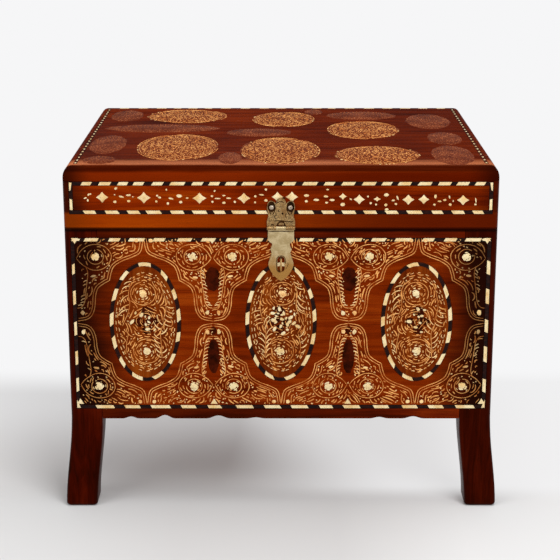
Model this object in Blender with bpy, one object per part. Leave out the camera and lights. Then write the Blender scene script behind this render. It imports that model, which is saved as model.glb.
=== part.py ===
"""Inlaid wooden box on four legs, with a hinged lid and a swinging hasp.

Metres, +Z up. The front faces -Y and +X is to the viewer's right. The feet stand on z = 0 and the
whole object is centred on the Z axis. The lid turns about the pins of two butt hinges at the back,
and the hasp leaf turns about its own pin on the lid's front.
"""

import math
from collections import namedtuple

import bmesh
import bpy
from mathutils import Matrix, Vector

# Overall sizes
CASE_WIDTH = 0.360
CASE_DEPTH = 0.280
TOTAL_HEIGHT = 0.300
LID_HEIGHT = 0.0535
LEG_HEIGHT = 0.079

# Clearances
FIT = 0.0003  # between two pieces that touch
SEAM = 0.0006  # between the case and the closed lid
PASS = 0.002  # how far a cutter runs past what it cuts

# Carcass
LEG_SIDE = 0.027
WALL = 0.014
CORNER_RADIUS = 0.004
ARRIS_RADIUS = 0.0004
LEG_ARRIS_RADIUS = 0.003
FOOT_FLARE = 0.006
FOOT_ROUND = 0.003
TONGUE_THICKNESS = 0.006
TONGUE_INSET = (WALL - TONGUE_THICKNESS) / 2
TONGUE_LENGTH = 0.008
CLEAT_SIDE = 0.010
CLEAT_RISE = 0.005
BASE_THICKNESS = 0.006
APRON_NICKS = (  # (place as a share of the half length, height, half width)
    (-0.84, 0.0018, 0.0070),
    (-0.65, 0.0032, 0.0085),
    (-0.35, 0.0028, 0.0100),
    (-0.14, 0.0010, 0.0080),
    (0.55, 0.0014, 0.0080),
    (0.74, 0.0020, 0.0090),
)

# Inlay on the case
EDGE_MARGIN = 0.005
TOP_MARGIN = 0.0068
APRON_MARGIN = 0.0090
POCKET_DEPTH = 0.0025
BORDER_WIDTH = 0.003
MEDALLION_ROW = 3
MEDALLION_GAP = 0.054
MEDALLION_TOP_MARGIN = 0.0175
MEDALLION_BOTTOM_MARGIN = 0.0215

# Lid
TOP_THICKNESS = 0.012
EDGE_FLAT = 0.002
ROUNDOVER_IN = 0.0075
ROUNDOVER_DOWN = TOP_THICKNESS - EDGE_FLAT
LAP = WALL / 2
STRIP_DEPTH = 0.0015
LID_BORDER_TOP_MARGIN = 0.0002
LID_BORDER_BOTTOM_MARGIN = 0.0132
TOP_STRIP_INSET = ROUNDOVER_IN + 0.0008
TOP_STRIP_WIDTH = 0.0025
TOP_STRIP_START = TOP_STRIP_INSET + 0.0037

# Butt hinges
LID_OPEN = math.radians(100)
STOP_CLEARANCE = math.radians(2)
AXIS_INSET = 0.0045
BEVEL_RELIEF = 0.0008
HINGE_FROM_END = 0.075
HINGE_LENGTH = 0.045
LEAF_LIP = 0.0015  # wood left between a leaf and the wall's inner face
LEAF_THICKNESS = 0.0012
PIN_RADIUS = 0.0010
PIN_HEAD = 0.0010
BARREL_CLEARANCE = 0.0006
BARREL_RADIUS = PIN_RADIUS + FIT + LEAF_THICKNESS
LEAF_REACH = WALL - AXIS_INSET - LEAF_LIP
LEAF_START = BARREL_RADIUS + BARREL_CLEARANCE
SCREW_SPACING = 0.026
SCREW_EDGE = 0.00055  # brass left beside a screw's head
SCREW_FROM_AXIS = (LEAF_START + LEAF_REACH) / 2
SCREW_HEAD_RADIUS = (LEAF_REACH - LEAF_START) / 2 - SCREW_EDGE
SCREW_SHANK_RADIUS = SCREW_HEAD_RADIUS * 0.53
SCREW_LENGTH = 0.010

# Hasp
HASP_THICKNESS = 0.0012
HASP_PIN_RADIUS = 0.0006
HASP_BARREL_WALL = 0.0007
HASP_BARREL_RADIUS = HASP_PIN_RADIUS + FIT + HASP_BARREL_WALL
HASP_AXIS_RISE = HASP_BARREL_RADIUS + FIT
HASP_WIDTH = 0.0232
HASP_KNUCKLE = 0.0080
STAPLE_DROP = 0.0292
STAPLE_WIRE = 0.0009
STAPLE_SPAN = 0.0092
STAPLE_REACH = 0.0100
STAPLE_BURIED = 0.0100
SLOT_ROOM_SIDE = 0.0022
SLOT_ROOM_END = 0.0013
SLOT_WIDTH = 2 * (STAPLE_WIRE + SLOT_ROOM_SIDE)
SLOT_HEIGHT = STAPLE_SPAN + 2 * (STAPLE_WIRE + SLOT_ROOM_END)
NAIL_HEAD_RADIUS = 0.0019
NAIL_HEAD_HEIGHT = 0.0009
NAIL_SHANK_RADIUS = 0.0007
NAIL_LENGTH = 0.0070
# Half outlines of the leaf from the top down: (share of STAPLE_DROP, share of half the width)
LEAF_TOP = (0.000, 0.93)
LEAF_WAIST = ((0.281, 0.94), (0.342, 0.81), (0.397, 0.64), (0.473, 0.655), (0.562, 0.77))
LEAF_BULB = (
    (0.562, 0.77),
    (0.671, 0.67),
    (0.822, 0.785),
    (1.010, 0.905),
    (1.199, 0.74),
    (1.370, 0.43),
    (1.507, 0.00),
)
# Half outlines of the plate: (height above the hinge axis, share of half the width)
PLATE_SIDE = ((0.0024, 1.00), (0.0060, 1.00), (0.0100, 0.90), (0.0130, 0.93), (0.0175, 1.00))
PLATE_EAR = ((0.0175, 1.00), (0.0218, 0.91), (0.0232, 0.71), (0.0218, 0.45), (0.0200, 0.31))
PLATE_CREST = ((0.0200, 0.31), (0.0222, 0.345), (0.0246, 0.225), (0.0256, 0.00))
NAIL_RISE = 0.0175
NAIL_SPREAD = 0.0078

# Where things are
HALF_WIDTH = CASE_WIDTH / 2
FRONT_Y = (STAPLE_REACH - FOOT_FLARE - CASE_DEPTH) / 2
BACK_Y = FRONT_Y + CASE_DEPTH
SEAM_Z = TOTAL_HEIGHT - LID_HEIGHT
CASE_TOP = SEAM_Z - SEAM / 2
LID_BOTTOM = SEAM_Z + SEAM / 2
TOP_BOARD_LOW = TOTAL_HEIGHT - TOP_THICKNESS
RAIL_TOP = TOP_BOARD_LOW - FIT
FIELD_LOW = LEG_HEIGHT + APRON_MARGIN
FIELD_HIGH = SEAM_Z - TOP_MARGIN
LID_AXIS = Vector((0, BACK_Y - AXIS_INSET, SEAM_Z))
HASP_AXIS = Vector((0, FRONT_Y - FIT - HASP_BARREL_RADIUS, SEAM_Z + HASP_AXIS_RISE))

Finish = namedtuple("Finish", "colour roughness metallic")
Rect = namedtuple("Rect", "low_u low_v high_u high_v")


def srgb(red, green, blue):
    """The linear colour of an sRGB one given in 0 to 255."""
    shares = (red / 255, green / 255, blue / 255)
    return tuple(s / 12.92 if s <= 0.04045 else ((s + 0.055) / 1.055) ** 2.4 for s in shares)


CASE_WOOD = Finish(srgb(118, 44, 12), 0.38, 0.0)
LEG_WOOD = Finish(srgb(62, 16, 6), 0.42, 0.0)
LID_WOOD = Finish(srgb(124, 42, 8), 0.34, 0.0)
TOP_WOOD = Finish(srgb(104, 36, 14), 0.34, 0.0)
FIELD_WOOD = Finish(srgb(126, 50, 18), 0.40, 0.0)
PLAQUE_WOOD = Finish(srgb(134, 62, 26), 0.42, 0.0)
INNER_WOOD = Finish(srgb(150, 104, 66), 0.60, 0.0)
BONE = Finish(srgb(235, 205, 140), 0.40, 0.0)
BRASS = Finish(srgb(185, 165, 125), 0.38, 0.85)
STEEL = Finish(srgb(120, 112, 100), 0.45, 0.90)


# Shapes


def across(axis, along, u, v):
    """The point at `along` on the axis, with the two other axes in X, Y, Z order holding u and v."""
    return {"X": (along, u, v), "Y": (u, along, v), "Z": (u, v, along)}[axis]


def loft(rings):
    """A closed bmesh through rings of equally many points, capped at both ends."""
    shape = bmesh.new()
    rows = [[shape.verts.new(point) for point in ring] for ring in rings]
    for lower, upper in zip(rows, rows[1:]):
        for i, first in enumerate(lower):
            following = (i + 1) % len(lower)
            shape.faces.new((first, lower[following], upper[following], upper[i]))
    shape.faces.new(rows[0])
    shape.faces.new(rows[-1])
    bmesh.ops.recalc_face_normals(shape, faces=shape.faces)
    return shape


def prism(axis, outline, low, high):
    """The outline, drawn across the axis, pushed along it from low to high."""
    return loft([[across(axis, along, u, v) for u, v in outline] for along in (low, high)])


def block(low, high):
    """A box between two corners."""
    outline = ((low[0], low[1]), (high[0], low[1]), (high[0], high[1]), (low[0], high[1]))
    return prism("Z", outline, low[2], high[2])


def frame(axis, rect, width, low, high):
    """A rectangular ring of the given width inside the rectangle, from low to high along the axis."""
    inner = shrunk(rect, width)
    shape = bmesh.new()
    rows = []
    for side, along in ((rect, low), (rect, high), (inner, high), (inner, low)):
        rows.append([shape.verts.new(across(axis, along, u, v)) for u, v in corners(side)])
    for lower, upper in zip(rows, rows[1:] + rows[:1]):
        for i, first in enumerate(lower):
            following = (i + 1) % len(lower)
            shape.faces.new((first, lower[following], upper[following], upper[i]))
    bmesh.ops.recalc_face_normals(shape, faces=shape.faces)
    return shape


def turned(profile, centre, axis, sides):
    """A round piece: the (radius, place along the axis) profile turned about a line through centre."""
    shape = bmesh.new()
    rows = []
    for radius, along in profile:
        if radius == 0:
            rows.append([shape.verts.new(placed(centre, axis, along, 0, 0))])
            continue
        angles = [2 * math.pi * k / sides for k in range(sides)]
        row = [placed(centre, axis, along, radius * math.cos(a), radius * math.sin(a)) for a in angles]
        rows.append([shape.verts.new(point) for point in row])
    for lower, upper in zip(rows, rows[1:]):
        for i in range(sides):
            following = (i + 1) % sides
            quad = (lower[i % len(lower)], lower[following % len(lower)])
            quad += (upper[following % len(upper)], upper[i % len(upper)])
            shape.faces.new(tuple(dict.fromkeys(quad)))
    for row in (rows[0], rows[-1]):
        if len(row) > 1:
            shape.faces.new(row)
    bmesh.ops.recalc_face_normals(shape, faces=shape.faces)
    return shape


def placed(centre, axis, along, u, v):
    """A point given from `centre`, as `across` reads it."""
    return Vector(centre) + Vector(across(axis, along, u, v))


def corners(rect):
    """The four corners of a rectangle, in order round it."""
    return (
        (rect.low_u, rect.low_v),
        (rect.high_u, rect.low_v),
        (rect.high_u, rect.high_v),
        (rect.low_u, rect.high_v),
    )


def shrunk(rect, by):
    """The rectangle moved in by the same distance on every side."""
    return Rect(rect.low_u + by, rect.low_v + by, rect.high_u - by, rect.high_v - by)


def rounded(rect, radii, steps=4):
    """The rectangle's outline with each corner an arc; radii follow the order of `corners`."""
    points = []
    for number, ((u, v), radius) in enumerate(zip(corners(rect), radii)):
        inward_u = 1 if number in (0, 3) else -1
        inward_v = 1 if number in (0, 1) else -1
        start = math.pi + number * math.pi / 2
        for step in range(steps + 1):
            angle = start + step * math.pi / 2 / steps
            u_arc = u + inward_u * radius + radius * math.cos(angle)
            points.append((u_arc, v + inward_v * radius + radius * math.sin(angle)))
    return points


def ellipse(centre_u, centre_v, half_u, half_v, steps=48):
    """An ellipse's outline."""
    angles = [2 * math.pi * k / steps for k in range(steps)]
    return [(centre_u + half_u * math.cos(a), centre_v + half_v * math.sin(a)) for a in angles]


def curve_through(points, steps=4):
    """A smooth line through the points (Catmull-Rom), with the ends doubled."""
    padded = (points[0], *points, points[-1])
    line = []
    for before, start, end, after in zip(padded, padded[1:], padded[2:], padded[3:]):
        for step in range(steps):
            t = step / steps
            weights = (
                -t / 2 + t * t - t**3 / 2,
                1 - 5 * t * t / 2 + 3 * t**3 / 2,
                t / 2 + 2 * t * t - 3 * t**3 / 2,
                (t**3 - t * t) / 2,
            )
            four = (before, start, end, after)
            line.append(tuple(sum(w * p[i] for w, p in zip(weights, four)) for i in (0, 1)))
    return line + [tuple(points[-1])]


# Objects


def made(name, shape, finish, smooth_angle=None):
    """An object of its own with its own material."""
    mesh = bpy.data.meshes.new(name)
    shape.to_mesh(mesh)
    shape.free()
    if smooth_angle is not None:
        mesh.shade_smooth()
        mesh.set_sharp_from_angle(angle=smooth_angle)
    piece = bpy.data.objects.new(name, mesh)
    bpy.context.scene.collection.objects.link(piece)
    material = bpy.data.materials.new(name)
    material.use_nodes = True
    surface = material.node_tree.nodes["Principled BSDF"]
    surface.inputs["Base Color"].default_value = (*finish.colour, 1)
    surface.inputs["Roughness"].default_value = finish.roughness
    surface.inputs["Metallic"].default_value = finish.metallic
    mesh.materials.append(material)
    return piece


def helper(name, shape):
    """A hidden object that only shapes others."""
    mesh = bpy.data.meshes.new(name)
    shape.to_mesh(mesh)
    shape.free()
    tool = bpy.data.objects.new(name, mesh)
    tool.hide_render = True
    tool.display_type = "WIRE"
    bpy.context.scene.collection.objects.link(tool)
    return tool


def combine(piece, tool, operation):
    """Adds a Boolean of the piece with the helper."""
    modifier = piece.modifiers.new(tool.name, "BOOLEAN")
    modifier.operation = operation
    modifier.object = tool


def cut(pieces, *tools):
    """Takes each helper's shape out of each piece."""
    for piece in pieces:
        for tool in tools:
            combine(piece, tool, "DIFFERENCE")


def empty_at(name, place):
    """An empty at a joint's axis."""
    pivot = bpy.data.objects.new(name, None)
    pivot.location = place
    bpy.context.scene.collection.objects.link(pivot)
    return pivot


def hang_on(pivot, pieces, origin=None):
    """Parents pieces drawn in world coordinates to the pivot, with their origin on a joint's axis."""
    origin = pivot.location if origin is None else origin
    for piece in pieces:
        piece.data.transform(Matrix.Translation(-origin))
        piece.parent = pivot
        piece.location = origin - pivot.location


# Carcass


def leg_shift(z):
    """How far the leg has swept outwards at a height: none at the panels, FOOT_FLARE at the foot."""
    share = min(max(1 - z / LEG_HEIGHT, 0), 1)
    return FOOT_FLARE * share * share * (3 - 2 * share)


def post(name, side_x, side_y):
    """A corner post: square and straight beside the panels, and a leg that sweeps outwards below."""
    levels = [(FOOT_ROUND * (1 - math.cos(a)), FOOT_ROUND * (1 - math.sin(a))) for a in quarter(4)]
    levels += [(LEG_HEIGHT * k / 9, 0) for k in range(1, 10)]
    levels += [(CASE_TOP, 0)]
    rings = []
    for z, inset in levels:
        shift = leg_shift(z)
        leg = z < LEG_HEIGHT * 0.98
        outer = LEG_ARRIS_RADIUS if leg else CORNER_RADIUS
        inner = LEG_ARRIS_RADIUS if leg else ARRIS_RADIUS
        low = inset - shift
        high = LEG_SIDE - shift - inset
        # Drawn from the outer corner inwards: u to the panel of the front or back, v to the side's.
        outline = rounded(Rect(low, low, high, high), (outer, inner, inner, inner))
        corner_y = BACK_Y if side_y > 0 else FRONT_Y
        ring = [(side_x * (HALF_WIDTH - u), corner_y - side_y * v, z) for u, v in outline]
        rings.append(ring)
    return made(name, loft(rings), LEG_WOOD, math.radians(40))


def quarter(steps):
    """Angles from 0 to a right angle."""
    return [math.pi / 2 * k / steps for k in range(steps + 1)]


def tongue_grooves():
    """Helpers that groove the posts for the panels' tongues, from the panels' lower edge up."""
    low = TONGUE_INSET - FIT
    high = TONGUE_INSET + TONGUE_THICKNESS + FIT
    reach = TONGUE_LENGTH + FIT
    bottom = LEG_HEIGHT - FIT
    top = CASE_TOP + PASS
    span_x = HALF_WIDTH - LEG_SIDE + reach
    near = FRONT_Y + LEG_SIDE - reach
    far = BACK_Y - LEG_SIDE + reach
    rows = {
        "groove_front": ((-span_x, FRONT_Y + low, bottom), (span_x, FRONT_Y + high, top)),
        "groove_back": ((-span_x, BACK_Y - high, bottom), (span_x, BACK_Y - low, top)),
        "groove_left": ((-HALF_WIDTH + low, near, bottom), (-HALF_WIDTH + high, far, top)),
        "groove_right": ((HALF_WIDTH - high, near, bottom), (HALF_WIDTH - low, far, top)),
    }
    return {name: helper(name, block(*row)) for name, row in rows.items()}


def apron_edge(half_length):
    """The front panel's lower edge from left to right, with its shallow hand-cut nicks."""
    line = [(-half_length, LEG_HEIGHT)]
    for share, height, half_width in APRON_NICKS:
        centre = share * (HALF_WIDTH - LEG_SIDE)
        for step in range(-4, 5):
            rise = height * (0.5 + 0.5 * math.cos(math.pi * step / 4))
            line.append((centre + half_width * step / 4, LEG_HEIGHT + rise))
    return line + [(half_length, LEG_HEIGHT)]


def panels():
    """The four walls, each with a tongue at both ends."""
    half_x = HALF_WIDTH - LEG_SIDE - FIT
    half_y = CASE_DEPTH / 2 - LEG_SIDE - FIT
    middle_y = (FRONT_Y + BACK_Y) / 2
    long_x = half_x + TONGUE_LENGTH
    long_y = half_y + TONGUE_LENGTH
    upper = [(long_x, CASE_TOP), (-long_x, CASE_TOP)]
    plain = [(-long_x, LEG_HEIGHT), (long_x, LEG_HEIGHT)] + upper
    side = Rect(middle_y - long_y, LEG_HEIGHT, middle_y + long_y, CASE_TOP)
    front = made("panel_front", prism("Y", apron_edge(long_x) + upper, FRONT_Y, FRONT_Y + WALL), CASE_WOOD)
    back = made("panel_back", prism("Y", plain, BACK_Y - WALL, BACK_Y), CASE_WOOD)
    left = made("panel_left", prism("X", corners(side), -HALF_WIDTH, WALL - HALF_WIDTH), CASE_WOOD)
    right = made("panel_right", prism("X", corners(side), HALF_WIDTH - WALL, HALF_WIDTH), CASE_WOOD)
    low = LEG_HEIGHT - PASS
    high = CASE_TOP + PASS
    tongue = (TONGUE_INSET, TONGUE_INSET + TONGUE_THICKNESS)
    for sign, end in ((-1, "left"), (1, "right")):
        ends = sorted((sign * half_x, sign * (long_x + PASS)))
        for wall, outer, inward in ((front, FRONT_Y, 1), (back, BACK_Y, -1)):
            for near, far in ((-PASS, tongue[0]), (tongue[1], WALL + PASS)):
                rows = sorted((outer + inward * near, outer + inward * far))
                tool = block((ends[0], rows[0], low), (ends[1], rows[1], high))
                cut([wall], helper(f"shoulder_{wall.name}_{end}", tool))
    for sign, end in ((-1, "front"), (1, "back")):
        ends = sorted((middle_y + sign * half_y, middle_y + sign * (long_y + PASS)))
        for wall, outer, inward in ((left, -HALF_WIDTH, 1), (right, HALF_WIDTH, -1)):
            for near, far in ((-PASS, tongue[0]), (tongue[1], WALL + PASS)):
                rows = sorted((outer + inward * near, outer + inward * far))
                tool = block((rows[0], ends[0], low), (rows[1], ends[1], high))
                cut([wall], helper(f"shoulder_{wall.name}_{end}", tool))
    return front, back, left, right


def cleats_and_base():
    """Four cleats glued inside the walls, and the loose base board that lies on them."""
    low = LEG_HEIGHT + CLEAT_RISE
    high = low + CLEAT_SIDE
    half_x = HALF_WIDTH - LEG_SIDE - FIT
    near = FRONT_Y + WALL + FIT
    far = BACK_Y - WALL - FIT
    side = HALF_WIDTH - WALL - FIT
    ends = (FRONT_Y + LEG_SIDE + FIT, BACK_Y - LEG_SIDE - FIT)
    rows = {
        "cleat_front": ((-half_x, near, low), (half_x, near + CLEAT_SIDE, high)),
        "cleat_back": ((-half_x, far - CLEAT_SIDE, low), (half_x, far, high)),
        "cleat_left": ((-side, ends[0], low), (-side + CLEAT_SIDE, ends[1], high)),
        "cleat_right": ((side - CLEAT_SIDE, ends[0], low), (side, ends[1], high)),
    }
    for name, row in rows.items():
        made(name, block(*row), INNER_WOOD)
    outline = [(-side, ends[0]), (-half_x, ends[0]), (-half_x, near)]
    outline += [(half_x, near), (half_x, ends[0]), (side, ends[0])]
    outline += [(side, ends[1]), (half_x, ends[1]), (half_x, far)]
    outline += [(-half_x, far), (-half_x, ends[1]), (-side, ends[1])]
    bottom = high + FIT
    made("base_board", prism("Z", outline, bottom, bottom + BASE_THICKNESS), INNER_WOOD)


# Inlay on the case


def pocket_rect(low_u, high_u):
    """The pocket of an inlaid face of the case, from one edge of the face to the other."""
    return Rect(low_u + EDGE_MARGIN, FIELD_LOW, high_u - EDGE_MARGIN, FIELD_HIGH)


def medallion_shape():
    """Half width, half height and centre height of every medallion."""
    field = shrunk(pocket_rect(-HALF_WIDTH, HALF_WIDTH), FIT + BORDER_WIDTH + FIT)
    pitch = (field.high_u - field.low_u) / MEDALLION_ROW
    low = field.low_v + MEDALLION_BOTTOM_MARGIN
    high = field.high_v - MEDALLION_TOP_MARGIN
    return (pitch - MEDALLION_GAP) / 2, (high - low) / 2, (low + high) / 2


def inlaid_face(face, axis, low_u, high_u, outer, inward, names):
    """One inlaid face: its border frame, its field veneer and the medallions let into it.

    `outer` is the face's place along the axis, `inward` the sign of the way into the wood, and
    `names` the medallions' names in the order of the other horizontal axis. Returns the pocket
    helper, the veneer and the medallions.
    """
    pocket = pocket_rect(low_u, high_u)
    back = sorted((outer - inward * PASS, outer + inward * POCKET_DEPTH))
    tool = helper(f"pocket_{face}", prism(axis, corners(pocket), *back))
    layer = sorted((outer, outer + inward * (POCKET_DEPTH - FIT)))
    border = shrunk(pocket, FIT)
    made(f"border_{face}", frame(axis, border, BORDER_WIDTH, *layer), BONE)
    field = shrunk(border, BORDER_WIDTH + FIT)
    veneer = made(f"veneer_{face}", prism(axis, corners(field), *layer), FIELD_WOOD)
    half_u, half_v, centre_v = medallion_shape()
    pitch = (field.high_u - field.low_u) / len(names)
    medallions = []
    through = sorted((outer - inward * PASS, outer + inward * (POCKET_DEPTH + PASS)))
    for number, name in enumerate(names):
        centre_u = field.low_u + pitch * (number + 0.5)
        outline = ellipse(centre_u, centre_v, half_u, half_v)
        medallions.append(made(name, prism(axis, outline, *layer), PLAQUE_WOOD))
        hole = ellipse(centre_u, centre_v, half_u + FIT, half_v + FIT)
        cut([veneer], helper(f"hole_{name}", prism(axis, hole, *through)))
    return tool, veneer, medallions


# Lid


def end_rail(name, outer, inward):
    """The lid's front or back rail: full width, rebated at both ends for the side rails."""
    near = outer + inward * LAP
    inner = outer + inward * WALL
    shoulder = HALF_WIDTH - WALL - FIT
    arc = []
    for a in quarter(4):
        arc.append(
            (
                HALF_WIDTH - CORNER_RADIUS * (1 - math.cos(a)),
                outer + inward * CORNER_RADIUS * (1 - math.sin(a)),
            )
        )
    outline = [(-shoulder, inner), (shoulder, inner), (shoulder, near), (HALF_WIDTH, near)]
    outline += arc + [(-x, y) for x, y in reversed(arc)]
    outline += [(-HALF_WIDTH, near), (-shoulder, near)]
    return made(name, prism("Z", outline, LID_BOTTOM, RAIL_TOP), LID_WOOD, math.radians(40))


def side_rail(name, sign):
    """The lid's left or right rail, lapped into the end rails."""
    sides = sorted((sign * HALF_WIDTH, sign * (HALF_WIDTH - WALL)))
    low = (sides[0], FRONT_Y + LAP + FIT, LID_BOTTOM)
    return made(name, block(low, (sides[1], BACK_Y - LAP - FIT, RAIL_TOP)), LID_WOOD)


def top_board():
    """The lid's top, with a roundover on its upper edges."""
    whole = Rect(-HALF_WIDTH, FRONT_Y, HALF_WIDTH, BACK_Y)
    levels = [(TOP_BOARD_LOW, 0)]
    for a in quarter(7):
        z = TOTAL_HEIGHT - ROUNDOVER_DOWN * (1 - math.sin(a))
        levels.append((z, ROUNDOVER_IN * (1 - math.cos(a))))
    rings = []
    for z, inset in levels:
        radius = CORNER_RADIUS * (1 - 0.6 * inset / ROUNDOVER_IN)
        outline = rounded(shrunk(whole, inset), (radius,) * 4)
        rings.append([(x, y, z) for x, y in outline])
    return made("lid_top", loft(rings), TOP_WOOD, math.radians(40))


def lid_border(face, axis, low_u, high_u, outer, inward):
    """A border frame let into one face of the lid, and the helper for its groove."""
    high = TOP_BOARD_LOW - LID_BORDER_TOP_MARGIN - FIT
    low = LID_BOTTOM + LID_BORDER_BOTTOM_MARGIN
    rect = Rect(low_u + EDGE_MARGIN + FIT, low, high_u - EDGE_MARGIN - FIT, high - FIT)
    layer = sorted((outer, outer + inward * (STRIP_DEPTH - FIT)))
    strip = made(f"lid_border_{face}", frame(axis, rect, BORDER_WIDTH, *layer), BONE)
    deep = sorted((outer - inward * PASS, outer + inward * STRIP_DEPTH))
    groove = frame(axis, shrunk(rect, -FIT), BORDER_WIDTH + 2 * FIT, *deep)
    return strip, helper(f"groove_lid_{face}", groove)


def strip_outline(grow):
    """The U of stringing round the lid's top, along the left, back and right edges."""
    outer_x = HALF_WIDTH - TOP_STRIP_INSET + grow
    inner_x = outer_x - TOP_STRIP_WIDTH - 2 * grow
    outer_y = BACK_Y - TOP_STRIP_INSET + grow
    inner_y = outer_y - TOP_STRIP_WIDTH - 2 * grow
    start = FRONT_Y + TOP_STRIP_START - grow
    outline = [(-outer_x, start), (-inner_x, start), (-inner_x, inner_y), (inner_x, inner_y)]
    return outline + [(inner_x, start), (outer_x, start), (outer_x, outer_y), (-outer_x, outer_y)]


def top_strip():
    """The stringing on the lid's top, and the helper for its groove."""
    low = TOTAL_HEIGHT - STRIP_DEPTH
    strip = made("lid_border_top", prism("Z", strip_outline(0), low + FIT, TOTAL_HEIGHT), BONE)
    groove = prism("Z", strip_outline(FIT), low, TOTAL_HEIGHT + PASS)
    return strip, helper("groove_lid_top", groove)


# Butt hinges


def back_wedge():
    """The V between the case and the lid at the back, whose sides meet just past LID_OPEN."""
    angle = LID_OPEN / 2 + STOP_CLEARANCE
    apex = LID_AXIS.y - BEVEL_RELIEF
    reach = BACK_Y + PASS - apex
    rise = reach * math.tan(angle)
    outline = ((apex, SEAM_Z), (apex + reach, SEAM_Z - rise), (apex + reach, SEAM_Z + rise))
    return helper("back_wedge", prism("X", outline, -HALF_WIDTH - PASS, HALF_WIDTH + PASS))


def barrel_rows(centre_x):
    """The knuckles of one hinge from left to right, each (low x, high x)."""
    third = (HINGE_LENGTH - 2 * FIT) / 3
    starts = [centre_x - HINGE_LENGTH / 2 + k * (third + FIT) for k in range(3)]
    return [(start, start + third) for start in starts]


def rod(low_x, high_x, line, radius, sides=16):
    """A round bar along X about a line through the point `line`."""
    return turned(((radius, low_x), (radius, high_x)), (0, line.y, line.z), "X", sides)


def hinge_leaf(name, centre_x, up, own):
    """One leaf with its own knuckles; up is +1 for the lid's leaf and -1 for the case's."""
    edge = LID_AXIS.y - LEAF_START
    tail = LID_AXIS.y - LEAF_REACH
    low_x = centre_x - HINGE_LENGTH / 2
    high_x = centre_x + HINGE_LENGTH / 2
    outline = [(low_x, tail), (high_x, tail), (high_x, edge), (low_x, edge)]
    faces = sorted((SEAM_Z + up * SEAM / 2, SEAM_Z + up * (SEAM / 2 + LEAF_THICKNESS)))
    leaf = made(name, prism("Z", outline, *faces), BRASS, math.radians(30))
    for number, (start, end) in enumerate(own):
        tab = block((start, edge - PASS / 2, faces[0]), (end, LID_AXIS.y, faces[1]))
        combine(leaf, helper(f"{name}_tab_{number}", tab), "UNION")
        knuckle = rod(start, end, LID_AXIS, BARREL_RADIUS)
        combine(leaf, helper(f"{name}_knuckle_{number}", knuckle), "UNION")
    bore = rod(low_x - PASS, high_x + PASS, LID_AXIS, PIN_RADIUS + FIT)
    cut([leaf], helper(f"{name}_bore", bore))
    return leaf


def screw_profile(clearance):
    """A countersunk screw's (radius, depth) profile from the tip up to the head's flat top."""
    taper = SCREW_HEAD_RADIUS - SCREW_SHANK_RADIUS
    return (
        (0, -SCREW_LENGTH - clearance),
        (SCREW_SHANK_RADIUS + clearance, -SCREW_LENGTH + 2 * SCREW_SHANK_RADIUS),
        (SCREW_SHANK_RADIUS + clearance, -taper - clearance),
        (SCREW_HEAD_RADIUS + clearance, -clearance),
    )


def hinge_screws(prefix, centre_x, up, leaf, wood):
    """Two screws through a leaf into the wood, and their holes."""
    screws = []
    for sign, side in ((-1, "left"), (1, "right")):
        name = f"{prefix}_screw_{side}"
        place = (centre_x + sign * SCREW_SPACING / 2, LID_AXIS.y - SCREW_FROM_AXIS, SEAM_Z + up * SEAM / 2)
        profile = [(radius, -up * along) for radius, along in screw_profile(0)]
        screws.append(made(name, turned(profile, place, "Z", 12), STEEL, math.radians(30)))
        wide = screw_profile(FIT)
        wide += ((SCREW_HEAD_RADIUS + FIT, PASS),)
        hole = [(radius, -up * along) for radius, along in wide]
        cut([leaf, wood], helper(f"hole_{name}", turned(hole, place, "Z", 12)))
    return screws


def hinge_recess(name, centre_x, up):
    """The helper that lets a leaf into the wood, open at the back."""
    half = HINGE_LENGTH / 2 + PIN_HEAD + 3 * FIT
    depth = SEAM / 2 + LEAF_THICKNESS + FIT
    faces = sorted((SEAM_Z - up * PASS, SEAM_Z + up * depth))
    low = (centre_x - half, LID_AXIS.y - LEAF_REACH - FIT, faces[0])
    return helper(name, block(low, (centre_x + half, BACK_Y + PASS, faces[1])))


def barrel_room(name, centre_x):
    """The helper that clears the wood round a hinge's barrel."""
    half = HINGE_LENGTH / 2 + PIN_HEAD + 3 * FIT
    radius = BARREL_RADIUS + BARREL_CLEARANCE
    return helper(name, rod(centre_x - half, centre_x + half, LID_AXIS, radius, 24))


def hinge(side, sign, wall, rail):
    """One butt hinge with its pin and screws. Returns the pieces that turn with the lid."""
    prefix = f"hinge_{side}"
    centre_x = sign * (HALF_WIDTH - HINGE_FROM_END)
    rows = barrel_rows(centre_x)
    room = barrel_room(f"{prefix}_room", centre_x)
    cut([wall], hinge_recess(f"{prefix}_case_recess", centre_x, -1), room)
    cut([rail], hinge_recess(f"{prefix}_lid_recess", centre_x, 1), room)
    case_leaf = hinge_leaf(f"{prefix}_case_leaf", centre_x, -1, rows[::2])
    lid_leaf = hinge_leaf(f"{prefix}_lid_leaf", centre_x, 1, rows[1:2])
    hinge_screws(f"{prefix}_case", centre_x, -1, case_leaf, wall)
    screws = hinge_screws(f"{prefix}_lid", centre_x, 1, lid_leaf, rail)
    half = HINGE_LENGTH / 2 + FIT
    head = PIN_RADIUS * 1.7
    profile = (
        (head * 0.6, centre_x - half - PIN_HEAD),
        (head, centre_x - half - PIN_HEAD / 2),
        (head, centre_x - half),
        (PIN_RADIUS, centre_x - half),
        (PIN_RADIUS, centre_x + half),
        (head, centre_x + half),
        (head, centre_x + half + PIN_HEAD / 2),
        (head * 0.6, centre_x + half + PIN_HEAD),
    )
    pin = turned(profile, (0, LID_AXIS.y, LID_AXIS.z), "X", 16)
    made(f"{prefix}_pin", pin, STEEL, math.radians(40))
    return [lid_leaf, *screws]


# Hasp


def mirrored(half):
    """A closed outline from a half one, given as (height, share of half the hasp's width)."""
    right = [(share * HASP_WIDTH / 2, height) for height, share in half]
    left = [(-width, height) for width, height in reversed(right) if width > 0]
    return right + left


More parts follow.
